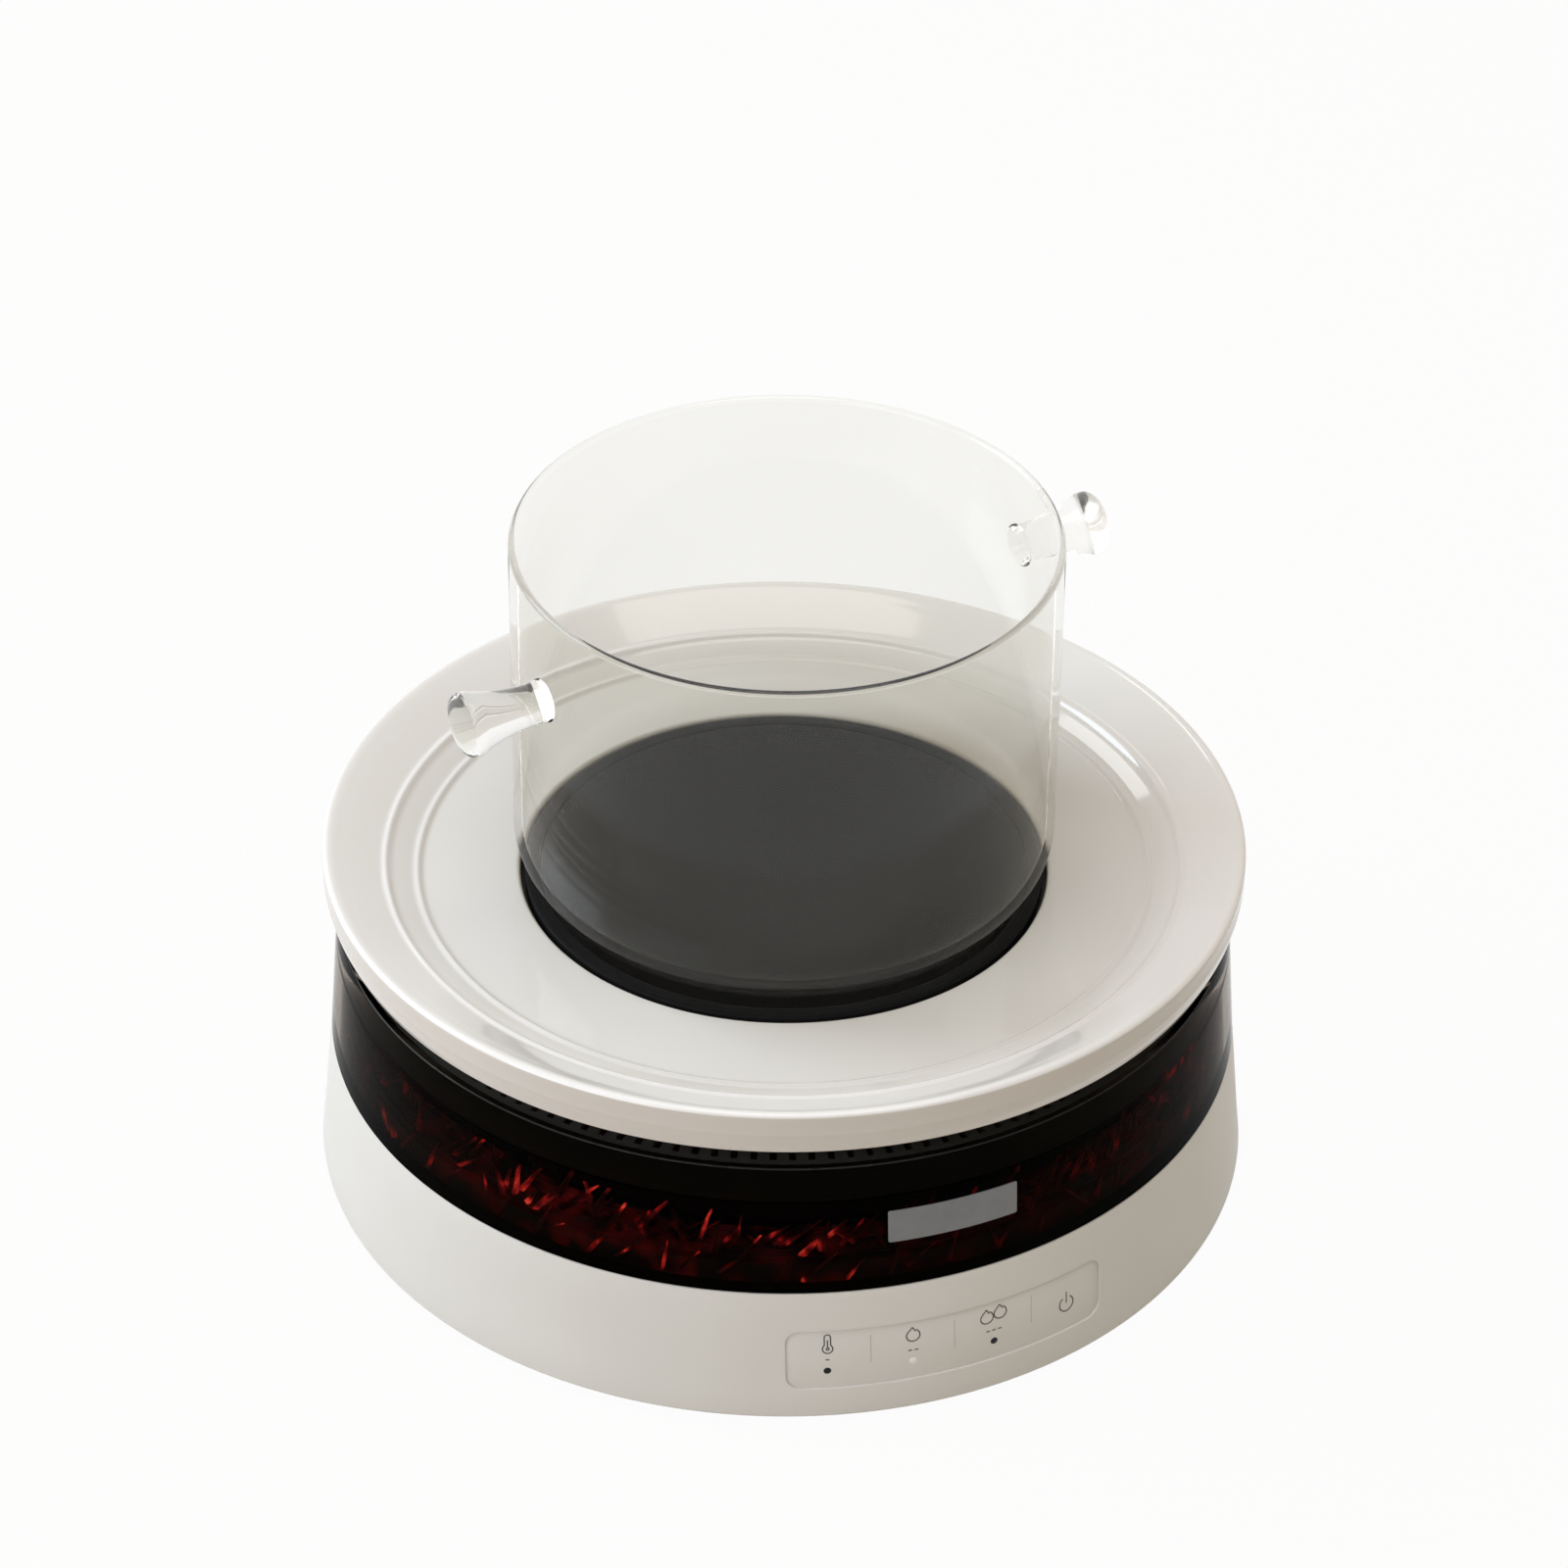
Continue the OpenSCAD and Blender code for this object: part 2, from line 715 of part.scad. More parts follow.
// Deck in one moulding: a platform for the hob, a lower vent ledge round it and a skirt
module vent_deck() {
    slot_margin = 0.4;
    platform_margin = 1;
    slot_in_r = deck_r - skirt_t - slot_margin - slot_l;
    platform_r = boss_ring_r + boss_r + platform_margin;
    z_vent = z_ledge - deck_t;
    color([0.07, 0.07, 0.07]) difference() {
        union() {
            rotate_extrude() polygon([
                [hob_hole_r, z_under], [platform_r - deck_t, z_under], [platform_r - deck_t, z_vent],
                [deck_r - skirt_t, z_vent], [deck_r - skirt_t, z_skirt],
                [deck_r, z_skirt], [deck_r, z_ledge],
                [platform_r, z_ledge], [platform_r, z_deck], [hob_hole_r, z_deck]
            ]);
            ring_of(post_count, boss_ring_r, boss_start)
                translate([0, 0, z_waist]) cylinder(r = boss_r, h = z_under + root - z_waist);
        }
        ring_of(slot_count, slot_in_r)
            translate([0, -slot_w / 2, z_vent - over]) cube([slot_l, slot_w, deck_t + 2 * over]);
        ring_of(post_count, boss_ring_r, boss_start)
            translate([0, 0, z_waist]) screw_hole(boss_screw_l);
        bridge_places() translate([0, 0, z_under]) screw_hole(bridge_screw_l - bridge_t + fit_gap);
    }
}

module deck_screws() {
    color("silver") ring_of(post_count, boss_ring_r, boss_start)
        translate([0, 0, z_shelf]) screw(shelf_t + boss_screw_l - over);
}

module tray_pads() {
    pad_r = 5;
    pad_count = 8;
    pad_ring_r = (hob_r + tray_gap + well_r) / 2;
    color("dimgray") ring_of(pad_count, pad_ring_r)
        translate([0, 0, z_deck]) cylinder(r = pad_r, h = pad_h);
}

module hob_trim_ring() {
    bevel = 0.8;
    in_r = hob_r - hob_ring_w;
    z_top = z_deck + hob_ring_h;
    color([0.18, 0.18, 0.19]) rotate_extrude() polygon([
        [in_r, z_deck], [hob_r, z_deck], [hob_r, z_top - bevel],
        [hob_r - bevel, z_top], [in_r + bevel, z_top], [in_r, z_top - bevel / 2]
    ]);
}

module hob_glass() {
    color([0.03, 0.03, 0.03]) translate([0, 0, z_glass]) cylinder(r = glass_r, h = hob_glass_t);
}

module hob_gasket() {
    gasket_inset = 0.5;
    color("gray") flat_ring(glass_r - gasket_inset, hob_hole_r + gasket_inset, z_deck, gasket_t);
}

// Heater below the hob glass
pan_t = 0.8;
z_pan = z_deck - pan_depth;
insulation_wall = 9;
z_insulation = z_pan + pan_t + insulation_t;
z_ribbon = z_insulation + ribbon_h;
limiter_r = 1.8;
limiter_lift = 0.5;
z_limiter = z_ribbon + limiter_r + limiter_lift;
limiter_head_l = 22;
limiter_head_w = 14;
limiter_head_h = 10;
limiter_hole_gap = 0.4;
limiter_hole_r = limiter_r + limiter_hole_gap;

// Straight hole for the heat limiter's rod through one side of the heater
module limiter_hole() {
    translate([-pan_r - over, 0, z_limiter]) rotate([0, 90, 0])
        cylinder(r = limiter_hole_r, h = pan_r + over);
}

module heater_pan() {
    lip_drop = 1;
    z_lip = z_deck - lip_drop;
    color("lightgray") difference() {
        rotate_extrude() polygon([
            [0, z_pan], [pan_r, z_pan], [pan_r, z_lip],
            [pan_r - pan_t, z_lip], [pan_r - pan_t, z_pan + pan_t], [0, z_pan + pan_t]
        ]);
        limiter_hole();
    }
}

module heater_insulation() {
    out_r = pan_r - pan_t - fit_gap;
    in_r = out_r - insulation_wall;
    z_top = z_glass - fit_gap;
    color("beige") difference() {
        rotate_extrude() polygon([
            [0, z_pan + pan_t], [out_r, z_pan + pan_t], [out_r, z_top],
            [in_r, z_top], [in_r, z_insulation], [0, z_insulation]
        ]);
        limiter_hole();
    }
}

// Flat spiral of ribbon that stands on edge on the insulation
module heating_ribbon() {
    start_r = 12;
    end_gap = 4;
    end_r = pan_r - pan_t - insulation_wall - end_gap;
    ribbon_t = 0.8;
    step = 15;
    last = floor((end_r - start_r) / ribbon_pitch * 360 / step);
    function spiral(i, side) = let (r = start_r + ribbon_pitch * i * step / 360 + side * ribbon_t / 2)
        [r * cos(i * step), r * sin(i * step)];
    color("indianred") translate([0, 0, z_insulation]) linear_extrude(ribbon_h) polygon(concat(
        [for (i = [0:last]) spiral(i, 1)],
        [for (i = [last:-1:0]) spiral(i, -1)]
    ));
}

module heat_limiter() {
    head_gap = 3;
    rod_gap = 8;
    head_x = -pan_r - head_gap - limiter_head_l;
    rod_end = pan_r - pan_t - insulation_wall - rod_gap;
    color("silver") union() {
        translate([head_x + limiter_head_l - root, 0, z_limiter]) rotate([0, 90, 0])
            cylinder(r = limiter_r, h = rod_end - head_x - limiter_head_l);
        translate([head_x, -limiter_head_w / 2, z_limiter + limiter_r - limiter_head_h])
            cube([limiter_head_l, limiter_head_w, limiter_head_h]);
    }
}

terminal_l = 14;
terminal_w = 20;
terminal_h = 9;
terminal_x = 46;
module terminal_block() {
    hole_r = 2;
    color("ivory") difference() {
        translate([terminal_x, -terminal_w / 2, z_pan - terminal_h])
            cube([terminal_l, terminal_w, terminal_h]);
        for (y = [-1, 1]) {
            translate([terminal_x + terminal_l / 2, y * terminal_w / 4, z_pan - terminal_h - over])
                cylinder(r = hole_r, h = terminal_h / 2 + over);
        }
    }
}

// Springs that press the heater up against the hob glass
z_bridge = z_pan - spring_h;
module heater_springs() {
    wire_r = 0.7;
    coil_r = 7;
    turns = 3;
    steps = 10;
    spring_y = 42;
    low = z_bridge + wire_r + fit_gap;
    rise = spring_h - 2 * wire_r - 2 * fit_gap;
    color("silver") for (y = [-1, 1]) {
        tube([for (i = [0:turns * steps]) [
            coil_r * cos(i * 360 / steps),
            y * spring_y + coil_r * sin(i * 360 / steps),
            low + rise * i / (turns * steps)
        ]], wire_r);
    }
}

module heater_bridge() {
    span = 2 * bridge_y;
    color("lightgray") difference() {
        union() {
            translate([-bridge_w / 2, -bridge_y, z_bridge - bridge_t]) cube([bridge_w, span, bridge_t]);
            for (side = [0, 1]) {
                mirror([0, side, 0]) {
                    translate([-bridge_w / 2, bridge_y - bridge_t, z_bridge - bridge_t])
                        cube([bridge_w, bridge_t, z_under - z_bridge + bridge_t]);
                    translate([-bridge_w / 2, bridge_y - bridge_t, z_under - bridge_t])
                        cube([bridge_w, bridge_foot_l + bridge_t, bridge_t]);
                }
            }
        }
        bridge_places() translate([0, 0, z_under - bridge_t]) screw_hole(bridge_t + over);
    }
}

module bridge_screws() {
    color("silver") bridge_places() translate([0, 0, z_under - bridge_t]) screw(bridge_screw_l);
}

module power_board() {
    color("seagreen") difference() {
        translate([board_x - board_l / 2, board_y - board_w / 2, z_board])
            cube([board_l, board_w, board_t]);
        board_corners() translate([0, 0, z_board]) screw_hole(board_t + over);
    }
}

module board_screws() {
    color("silver") board_corners() translate([0, 0, z_parts]) mirror([0, 0, 1])
        screw(board_t + board_screw_l - over);
}

// Parts that stand on the power board, each placed by its shares of the board's length and width
module on_board(x, y) {
    translate([board_x + x * board_l, board_y + y * board_w, z_parts]) children();
}

module transformer() {
    core_l = 34;
    core_w = 28;
    core_h = 24;
    coil_l = 22;
    coil_w = 36;
    coil_h = 18;
    coil_rise = 3;
    color("goldenrod") on_board(-0.25, -0.2) {
        translate([-core_l / 2, -core_w / 2, 0]) cube([core_l, core_w, core_h]);
        translate([-coil_l / 2, -coil_w / 2, coil_rise]) cube([coil_l, coil_w, coil_h]);
    }
}

module relay() {
    case_l = 20;
    case_w = 16;
    case_h = 16;
    color("royalblue") on_board(0.09, -0.28) translate([-case_l / 2, -case_w / 2, 0])
        cube([case_l, case_w, case_h]);
}

module capacitors() {
    can_r = 6;
    can_h = 22;
    can_pitch = 15;
    color("darkslategray") for (i = [0:2]) {
        on_board(-0.35, 0.27) translate([i * can_pitch, 0, 0]) cylinder(r = can_r, h = can_h);
    }
}

module heat_sink() {
    sink_l = 30;
    sink_w = 44;
    sink_t = 4;
    fin_count = 6;
    fin_t = 1.6;
    fin_h = 20;
    fin_pitch = (sink_l - fin_t) / (fin_count - 1);
    color("lightgray") on_board(0.27, 0.14) union() {
        translate([-sink_l / 2, -sink_w / 2, 0]) cube([sink_l, sink_w, sink_t]);
        for (i = [0:fin_count - 1]) {
            translate([-sink_l / 2 + i * fin_pitch, -sink_w / 2, sink_t - root])
                cube([fin_t, sink_w, fin_h + root]);
        }
    }
}

module fan_frame() {
    motor_plate_r = fan_hub_r - 1;
    color([0.12, 0.12, 0.12]) difference() {
        union() {
            translate([fan_x, fan_y, z_floor]) difference() {
                translate([-fan_w / 2, -fan_w / 2, 0]) cube([fan_w, fan_w, fan_h]);
                translate([0, 0, -over]) cylinder(r = fan_bore_r, h = fan_h + 2 * over);
            }
            translate([fan_x, fan_y, z_floor + root / 2]) {
                cylinder(r = motor_plate_r, h = strut_t - root / 2);
                translate([0, 0, root])
                    cylinder(r = bearing_r + bearing_wall, h = z_bearing_top - z_floor - root * 1.5);
                for (a = [45:90:315]) {
                    rotate([0, 0, a]) translate([motor_plate_r - 4 * root, -strut_w / 2, root / 2])
                        cube([fan_bore_r - motor_plate_r + 8 * root, strut_w, strut_t - root * 1.5]);
                }
            }
        }
        translate([fan_x, fan_y, z_floor - over]) cylinder(r = bearing_r, h = fan_h + 2 * over);
        fan_corners() translate([0, 0, z_floor - over]) cylinder(r = fan_hole_r, h = fan_h + 2 * over);
    }
}

module fan_stator() {
    z_stator = z_floor + strut_t;
    stator_h = z_bearing_top - 1 - z_stator;
    color("peru") translate([fan_x, fan_y, 0])
        flat_ring(stator_r, bearing_r + bearing_wall + fit_gap, z_stator, stator_h);
}

// Hub cup, blades and shaft turn together about +Z
module fan_impeller() {
    blade_t = 1.4;
    blade_tilt = 38;
    blade_chord = (z_hub_top - z_hub - 2) / cos(blade_tilt);
    blade_in = fan_hub_r - hub_wall + 0.3;
    z_mid = (z_hub + z_hub_top) / 2;
    color([0.2, 0.2, 0.2]) translate([fan_x, fan_y, 0]) union() {
        difference() {
            translate([0, 0, z_hub]) cylinder(r = fan_hub_r, h = z_hub_top - z_hub);
            translate([0, 0, z_hub - over])
                cylinder(r = fan_hub_r - hub_wall, h = z_hub_top - z_hub - hub_roof + over);
        }
        translate([0, 0, z_floor + 0.5])
            cylinder(r = fan_shaft_r, h = z_hub_top - hub_roof / 2 - z_floor - 0.5);
        intersection() {
            translate([0, 0, z_floor]) cylinder(r = blade_tip_r, h = fan_h);
            ring_of(blade_count, blade_in) translate([0, 0, z_mid]) rotate([blade_tilt, 0, 0])
                translate([0, -blade_t / 2, -blade_chord / 2])
                cube([fan_bore_r - blade_in, blade_t, blade_chord]);
        }
    }
}

module fan_screws() {
    color("silver") fan_corners() translate([0, 0, z_floor + fan_h]) mirror([0, 0, 1])
        screw(fan_h + plate_t - over);
}

// Outline of the inlet's socket: a rectangle with its two upper corners cut off
module socket_outline() {
    w = socket_w / 2;
    h = socket_h / 2;
    polygon([
        [-w, -h], [w, -h], [w, h - socket_chamfer], [w - socket_chamfer, h],
        [socket_chamfer - w, h], [-w, h - socket_chamfer]
    ]);
}

module mains_inlet() {
    color([0.1, 0.1, 0.1]) difference() {
        union() {
            inlet_box(inlet_w, inlet_h, inlet_seat_y, inlet_face_y);
            inlet_box(inlet_body_w, inlet_body_h, inlet_face_y - inlet_body_l, inlet_seat_y + root);
        }
        translate([0, inlet_face_y + over, z_inlet]) rotate([90, 0, 0])
            linear_extrude(socket_depth + over) socket_outline();
        for (x = [-1, 1]) {
            translate([x * inlet_screw_x, inlet_face_y, z_inlet]) rotate([90, 0, 0])
                screw_hole(inlet_flange_t + over);
        }
    }
}

// Three flat pins of the inlet, the middle one higher than the outer two
pin_pitch = 7;
pin_offset = 2;
pin_t = 2;
pin_l = 14;
pin_w = 4;
module inlet_pins() {
    color("silver") for (i = [-1:1]) {
        translate([i * pin_pitch - pin_t / 2, socket_back_y,
            z_inlet - pin_w / 2 + (i == 0 ? pin_offset : -pin_offset)])
            cube([pin_t, pin_l, pin_w]);
    }
}

module inlet_screws() {
    color("silver") for (x = [-1, 1]) {
        translate([x * inlet_screw_x, inlet_face_y, z_inlet]) rotate([90, 0, 0])
            screw(inlet_screw_l);
    }
}

// Leads from the power board up to the heater's terminal block
module heater_leads() {
    z_end = z_pan - terminal_h - fit_gap;
    end_x = terminal_x + terminal_l / 2;
    edge_gap = 8;
    rise = 30;
    start_x = board_x + board_l / 2 - edge_gap;
    start_y = board_y - 0.3 * board_w;
    color("ghostwhite") for (side = [-1, 1]) {
        start = [start_x, start_y + side * terminal_w / 4, z_parts + fit_gap];
        finish = [end_x, side * terminal_w / 4, z_end];
        lead(start, start + [0, 0, rise], finish - [0, 0, rise], finish);
    }
}

// Leads from the mains inlet forward to the power board
module inlet_leads() {
    back_y = inlet_face_y - inlet_body_l - fit_gap;
    edge_gap = 6;
    lead_pitch = 10;
    reach = 60;
    rise = 45;
    color("saddlebrown") for (side = [-1, 1]) {
        start = [side * pin_pitch, back_y, z_inlet];
        finish = [
            board_x + 0.09 * board_l + side * lead_pitch / 2,
            board_y + board_w / 2 - edge_gap, z_parts + fit_gap
        ];
        lead(start, start - [0, reach, 0], finish + [0, 0, rise], finish);
    }
}

// Lead from the touch board back to the power board
module panel_lead() {
    edge_gap = 7;
    reach = 22;
    rise = 20;
    start = [-0.2 * touch_board_w, board_t - touch_board_y + fit_gap, z_panel];
    finish = [board_x + 0.15 * board_l, board_y - board_w / 2 + edge_gap, z_parts + fit_gap];
    color("dimgray") lead(start, start + [0, reach, 0], finish + [0, 0, rise], finish);
}

// Section of the ring tray: flat floor, low step, wide rising flange and a lip that turns down
module tray_profile() {
    t = tray_t;
    hole_r = hob_r + tray_gap;
    z_top = z_tray + tray_h;
    z_flange = z_tray + t + slope_h;
    lip_round = 2;
    lip_draw = 2.5;
    bottom_r = 1.2;
    slope_shift = 1.2;
    lip_r = tray_r - lip_round;
    z_lip = z_top - lip_round;
    flange_tilt = atan((z_top - z_flange) / (lip_r - flange_r));
    z_inside = z_top - (t - lip_round) * tan(flange_tilt) - t / cos(flange_tilt);
    polygon(concat(
        arc(hole_r + t / 2, z_tray + t / 2, t / 2, 270, 90),
        [[well_r, z_tray + t], [flange_r, z_flange]],
        arc(lip_r, z_lip, lip_round, 90 + flange_tilt, 0),
        arc(tray_r - lip_draw - bottom_r, z_top - lip_h + bottom_r, bottom_r, -10, -170),
        [
            [tray_r - t, z_inside], [flange_r + slope_shift, z_flange - t],
            [well_r + slope_shift, z_tray]
        ]
    ));
}

module ring_tray() {
    color("whitesmoke") rotate_extrude() tray_profile();
}

// Pot of one wall thickness with a round lower corner and a melted, rounded rim
module pot_profile() {
    in_corner = pot_corner_r - pot_wall;
    rim_r = pot_wall / 2;
    polygon(concat(
        [[0, z_pot]],
        arc(pot_r - pot_corner_r, z_pot + pot_corner_r, pot_corner_r, -90, 0),
        arc(pot_r - rim_r, z_rim - rim_r, rim_r, 0, 180),
        arc(pot_r - pot_corner_r, z_pot + pot_corner_r, in_corner, 0, -90),
        [[0, z_pot + pot_wall]]
    ));
}

module glass_pot() {
    color([0.85, 0.92, 0.92, 0.35]) rotate_extrude() pot_profile();
}

// Solid glass handle along +X, from inside the wall to its flared end
module handle() {
    collar_r = handle_stem_r + 1;
    collar_l = 1;
    neck_start = 4;
    flare_l = handle_l * 0.45;
    end_l = 4;
    end_round = 2;
    neck_l = handle_l - flare_l - end_l;
    steps = 6;
    translate([pot_r, 0, z_rim - handle_drop]) rotate([0, 90, 0]) rotate_extrude() polygon(concat(
        [[0, -pot_wall], [collar_r, -pot_wall], [collar_r, collar_l], [handle_stem_r, neck_start]],
        [for (i = [0:steps]) let (t = i / steps) [
            handle_stem_r + (handle_end_r - handle_stem_r) * t * t, neck_l + flare_l * t
        ]],
        arc(handle_end_r - end_round, handle_l - end_round, end_round, 0, 80, 4),
        [[0, handle_l + end_round / 5]]
    ));
}

// Two handles, fused to the outside of the pot's wall
module pot_handles() {
    color([0.85, 0.92, 0.92, 0.35]) difference() {
        for (a = [0, 180]) {
            rotate([0, 0, handle_angle + a]) handle();
        }
        translate([0, 0, z_pot]) cylinder(r = pot_r, h = pot_h);
    }
}

lower_housing();
base_plate();
feet();
base_screws();
control_fascia();
indicator_lenses();
touch_board();
touch_springs();
panel_screws();
smoked_band();
nameplate();
ember_bed();
lamp_board();
lamps();
inner_drum();
vent_deck();
deck_screws();
tray_pads();
hob_trim_ring();
hob_glass();
hob_gasket();
heater_pan();
heater_insulation();
heating_ribbon();
heat_limiter();
terminal_block();
heater_springs();
heater_bridge();
bridge_screws();
power_board();
transformer();
relay();
capacitors();
heat_sink();
board_screws();
fan_frame();
fan_stator();
fan_impeller();
fan_screws();
mains_inlet();
inlet_pins();
inlet_screws();
heater_leads();
inlet_leads();
panel_lead();
ring_tray();
glass_pot();
pot_handles();
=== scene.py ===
"""Looks of a round tabletop cooker with a clear glass pot, a ring tray and a glowing ember band.

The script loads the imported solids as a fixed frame, models the pieces in view over them with
Blender's operators, and gives every solid that stays in view a finish of its own. Lengths are in
millimetres unless a name says otherwise, and the panel faces -Y.
"""

import json
import logging
import math
import random
from dataclasses import dataclass, replace
from enum import Enum
from typing import Any, Callable, Sequence

import bpy
from mathutils import Matrix, Quaternion, Vector

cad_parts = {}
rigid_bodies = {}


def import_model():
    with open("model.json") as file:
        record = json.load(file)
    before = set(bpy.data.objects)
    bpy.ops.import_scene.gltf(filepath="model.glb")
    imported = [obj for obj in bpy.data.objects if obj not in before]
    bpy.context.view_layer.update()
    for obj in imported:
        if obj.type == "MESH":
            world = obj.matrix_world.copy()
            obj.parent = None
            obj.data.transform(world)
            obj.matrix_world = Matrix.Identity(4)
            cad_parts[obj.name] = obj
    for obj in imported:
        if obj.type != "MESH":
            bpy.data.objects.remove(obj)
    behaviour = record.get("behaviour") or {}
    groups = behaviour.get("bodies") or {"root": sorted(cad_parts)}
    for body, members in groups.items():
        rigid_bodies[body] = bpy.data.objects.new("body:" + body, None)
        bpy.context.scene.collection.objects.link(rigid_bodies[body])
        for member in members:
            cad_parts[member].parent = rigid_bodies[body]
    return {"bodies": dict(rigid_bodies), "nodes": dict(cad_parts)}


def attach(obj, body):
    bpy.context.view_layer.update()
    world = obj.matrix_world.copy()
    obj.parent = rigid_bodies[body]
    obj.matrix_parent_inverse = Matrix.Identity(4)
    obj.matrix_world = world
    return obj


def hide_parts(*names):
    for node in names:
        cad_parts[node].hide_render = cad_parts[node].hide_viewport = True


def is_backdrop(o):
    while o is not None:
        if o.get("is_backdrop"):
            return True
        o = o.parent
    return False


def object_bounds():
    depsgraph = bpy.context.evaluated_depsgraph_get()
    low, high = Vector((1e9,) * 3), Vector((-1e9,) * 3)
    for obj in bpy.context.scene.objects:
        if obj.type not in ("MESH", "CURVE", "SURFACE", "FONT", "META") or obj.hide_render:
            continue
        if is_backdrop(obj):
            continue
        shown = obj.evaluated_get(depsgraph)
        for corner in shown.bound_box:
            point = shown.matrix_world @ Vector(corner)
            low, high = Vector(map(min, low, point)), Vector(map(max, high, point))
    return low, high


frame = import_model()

MM = 0.001
MERGE_M = 0.002 * MM
COAT_ROUGHNESS = 0.03
COLOUR_STOPS = (0.3, 0.75)
WAVE = {"Distortion": 1.2, "Detail": 3.0}
log = logging.getLogger("cooker")

Point = tuple[float, float]
Colour = tuple[float, float, float]
Stops = Sequence[tuple[float, Colour]]
Inputs = dict[str | int, Any]
Piece = bpy.types.Object
Socket = bpy.types.NodeSocket
Tree = bpy.types.NodeTree


class Body(Enum):
    """Moving bodies of the frame that pieces ride on."""

    BASE = "base"
    TRAY = "tray"
    POT = "pot"


class Join(Enum):
    """Ways to combine one solid with another."""

    CUT = "DIFFERENCE"
    ADD = "UNION"
    KEEP = "INTERSECT"


class Grain(Enum):
    """Patterns of a finish, each as a texture, its output, coarseness, inputs and settings."""

    CLOUD = ("TexNoise", "Fac", 1, {"Detail": 4.0}, {})
    CELL = ("TexVoronoi", "Distance", 1, {}, {})
    TURNED = ("TexWave", "Fac", 6, WAVE, {"wave_type": "RINGS", "rings_direction": "Z"})
    WOUND = ("TexWave", "Fac", 6, WAVE, {"wave_type": "BANDS", "bands_direction": "Z"})
    TRACKS = ("TexBrick", "Fac", 1, {"Mortar Size": 0.06}, {})


def feed(node: bpy.types.Node, inputs: Inputs) -> None:
    """Sets or links inputs of a node.

    Args:
        node: The node.
        inputs: Value or source socket of each input, by name or number.
    """
    for key, source in inputs.items():
        if isinstance(source, Socket):
            node.id_data.links.new(source, node.inputs[key])
        else:
            node.inputs[key].default_value = source


def add_node(
    tree: Tree, kind: str, inputs: Inputs, output: str | int = 0, **settings: str
) -> Socket:
    """Adds a shader node.

    Args:
        tree: Node tree that it joins.
        kind: Type of the node without the prefix that all share.
        inputs: Value or source socket of each input, by name or number.
        output: Output that is wanted, by name or number.
        **settings: Settings of the node.

    Returns:
        The wanted output.
    """
    node = tree.nodes.new("ShaderNode" + kind)
    for key, value in settings.items():
        setattr(node, key, value)
    feed(node, inputs)
    return node.outputs[output]


def ramp(tree: Tree, source: Socket, stops: Stops) -> Socket:
    """Adds a colour ramp.

    Args:
        tree: Node tree that it joins.
        source: Socket that picks the colour.
        stops: Positions and colours.

    Returns:
        The colour.
    """
    result = add_node(tree, "ValToRGB", {"Fac": source})
    elements = result.node.color_ramp.elements
    while len(elements) < len(stops):
        elements.new(0.5)
    for element, (position, colour) in zip(elements, stops):
        element.position = position
        element.color = (*colour, 1)
    return result


@dataclass(frozen=True)
class Finish:
    """A surface finish with a colour pattern, a gloss range and a fine relief.

    Attributes:
        name: Name of the material.
        slot: Slot of the record that the finish belongs to; not used by the script.
        colour: Main colour, linear.
        shade: Second colour that the pattern mixes in.
        rough: Lowest and highest roughness.
        grain: Kind of pattern.
        grain_mm: Size of the pattern.
        relief: Strength of the fine relief, 0 to 1.
        relief_mm: Size of the fine relief.
        depth_mm: Height of the fine relief.
        metal: Share of metal.
        clear: Share of light that goes through.
        ior: Index of refraction.
        coat: Weight of a clear top coat.
        gloss: Level of the mirror-like share, 0.5 for a plain plastic.
    """

    name: str
    slot: str
    colour: Colour
    shade: Colour
    rough: Point
    grain: Grain = Grain.CLOUD
    grain_mm: float = 20.0
    relief: float = 0.1
    relief_mm: float = 0.6
    depth_mm: float = 0.05
    metal: float = 0.0
    clear: float = 0.0
    ior: float = 1.5
    coat: float = 0.0
    gloss: float = 0.5

    def make(self) -> bpy.types.Material:
        """Builds the material, or returns it if it is there already.

        Returns:
            The material with its nodes.
        """
        known = bpy.data.materials.get(self.name)
        if known is not None:
            return known
        material = bpy.data.materials.new(self.name)
        material.use_nodes = True
        tree = material.node_tree
        spot = add_node(tree, "TexCoord", {}, "Object")
        kind, output, coarse, inputs, settings = self.grain.value
        inputs = {"Vector": spot, "Scale": 1 / (self.grain_mm * MM) / coarse, **inputs}
        pattern = add_node(tree, kind, inputs, output, **settings)
        polish = {"Value": pattern, "To Min": self.rough[0], "To Max": self.rough[1]}
        surface = {
            "Metallic": self.metal,
            "Transmission Weight": self.clear,
            "IOR": self.ior,
            "Coat Weight": self.coat,
            "Coat Roughness": COAT_ROUGHNESS,
            "Specular IOR Level": self.gloss,
            "Roughness": add_node(tree, "MapRange", polish),
            **self.colours(tree, spot, pattern),
        }
        if self.relief > 0:
            fine = {"Vector": spot, "Scale": 1 / (self.relief_mm * MM), "Detail": 3.0}
            height = add_node(tree, "TexNoise", fine)
            bump = {"Strength": self.relief, "Distance": self.depth_mm * MM, "Height": height}
            surface["Normal"] = add_node(tree, "Bump", bump)
        feed(tree.nodes["Principled BSDF"], surface)
        return material

    def colours(self, tree: Tree, spot: Socket, pattern: Socket) -> Inputs:
        """Mixes the two colours by the pattern, and returns inputs of the shader."""
        stops = list(zip(COLOUR_STOPS, (self.colour, self.shade)))
        return {"Base Color": ramp(tree, pattern, stops)}


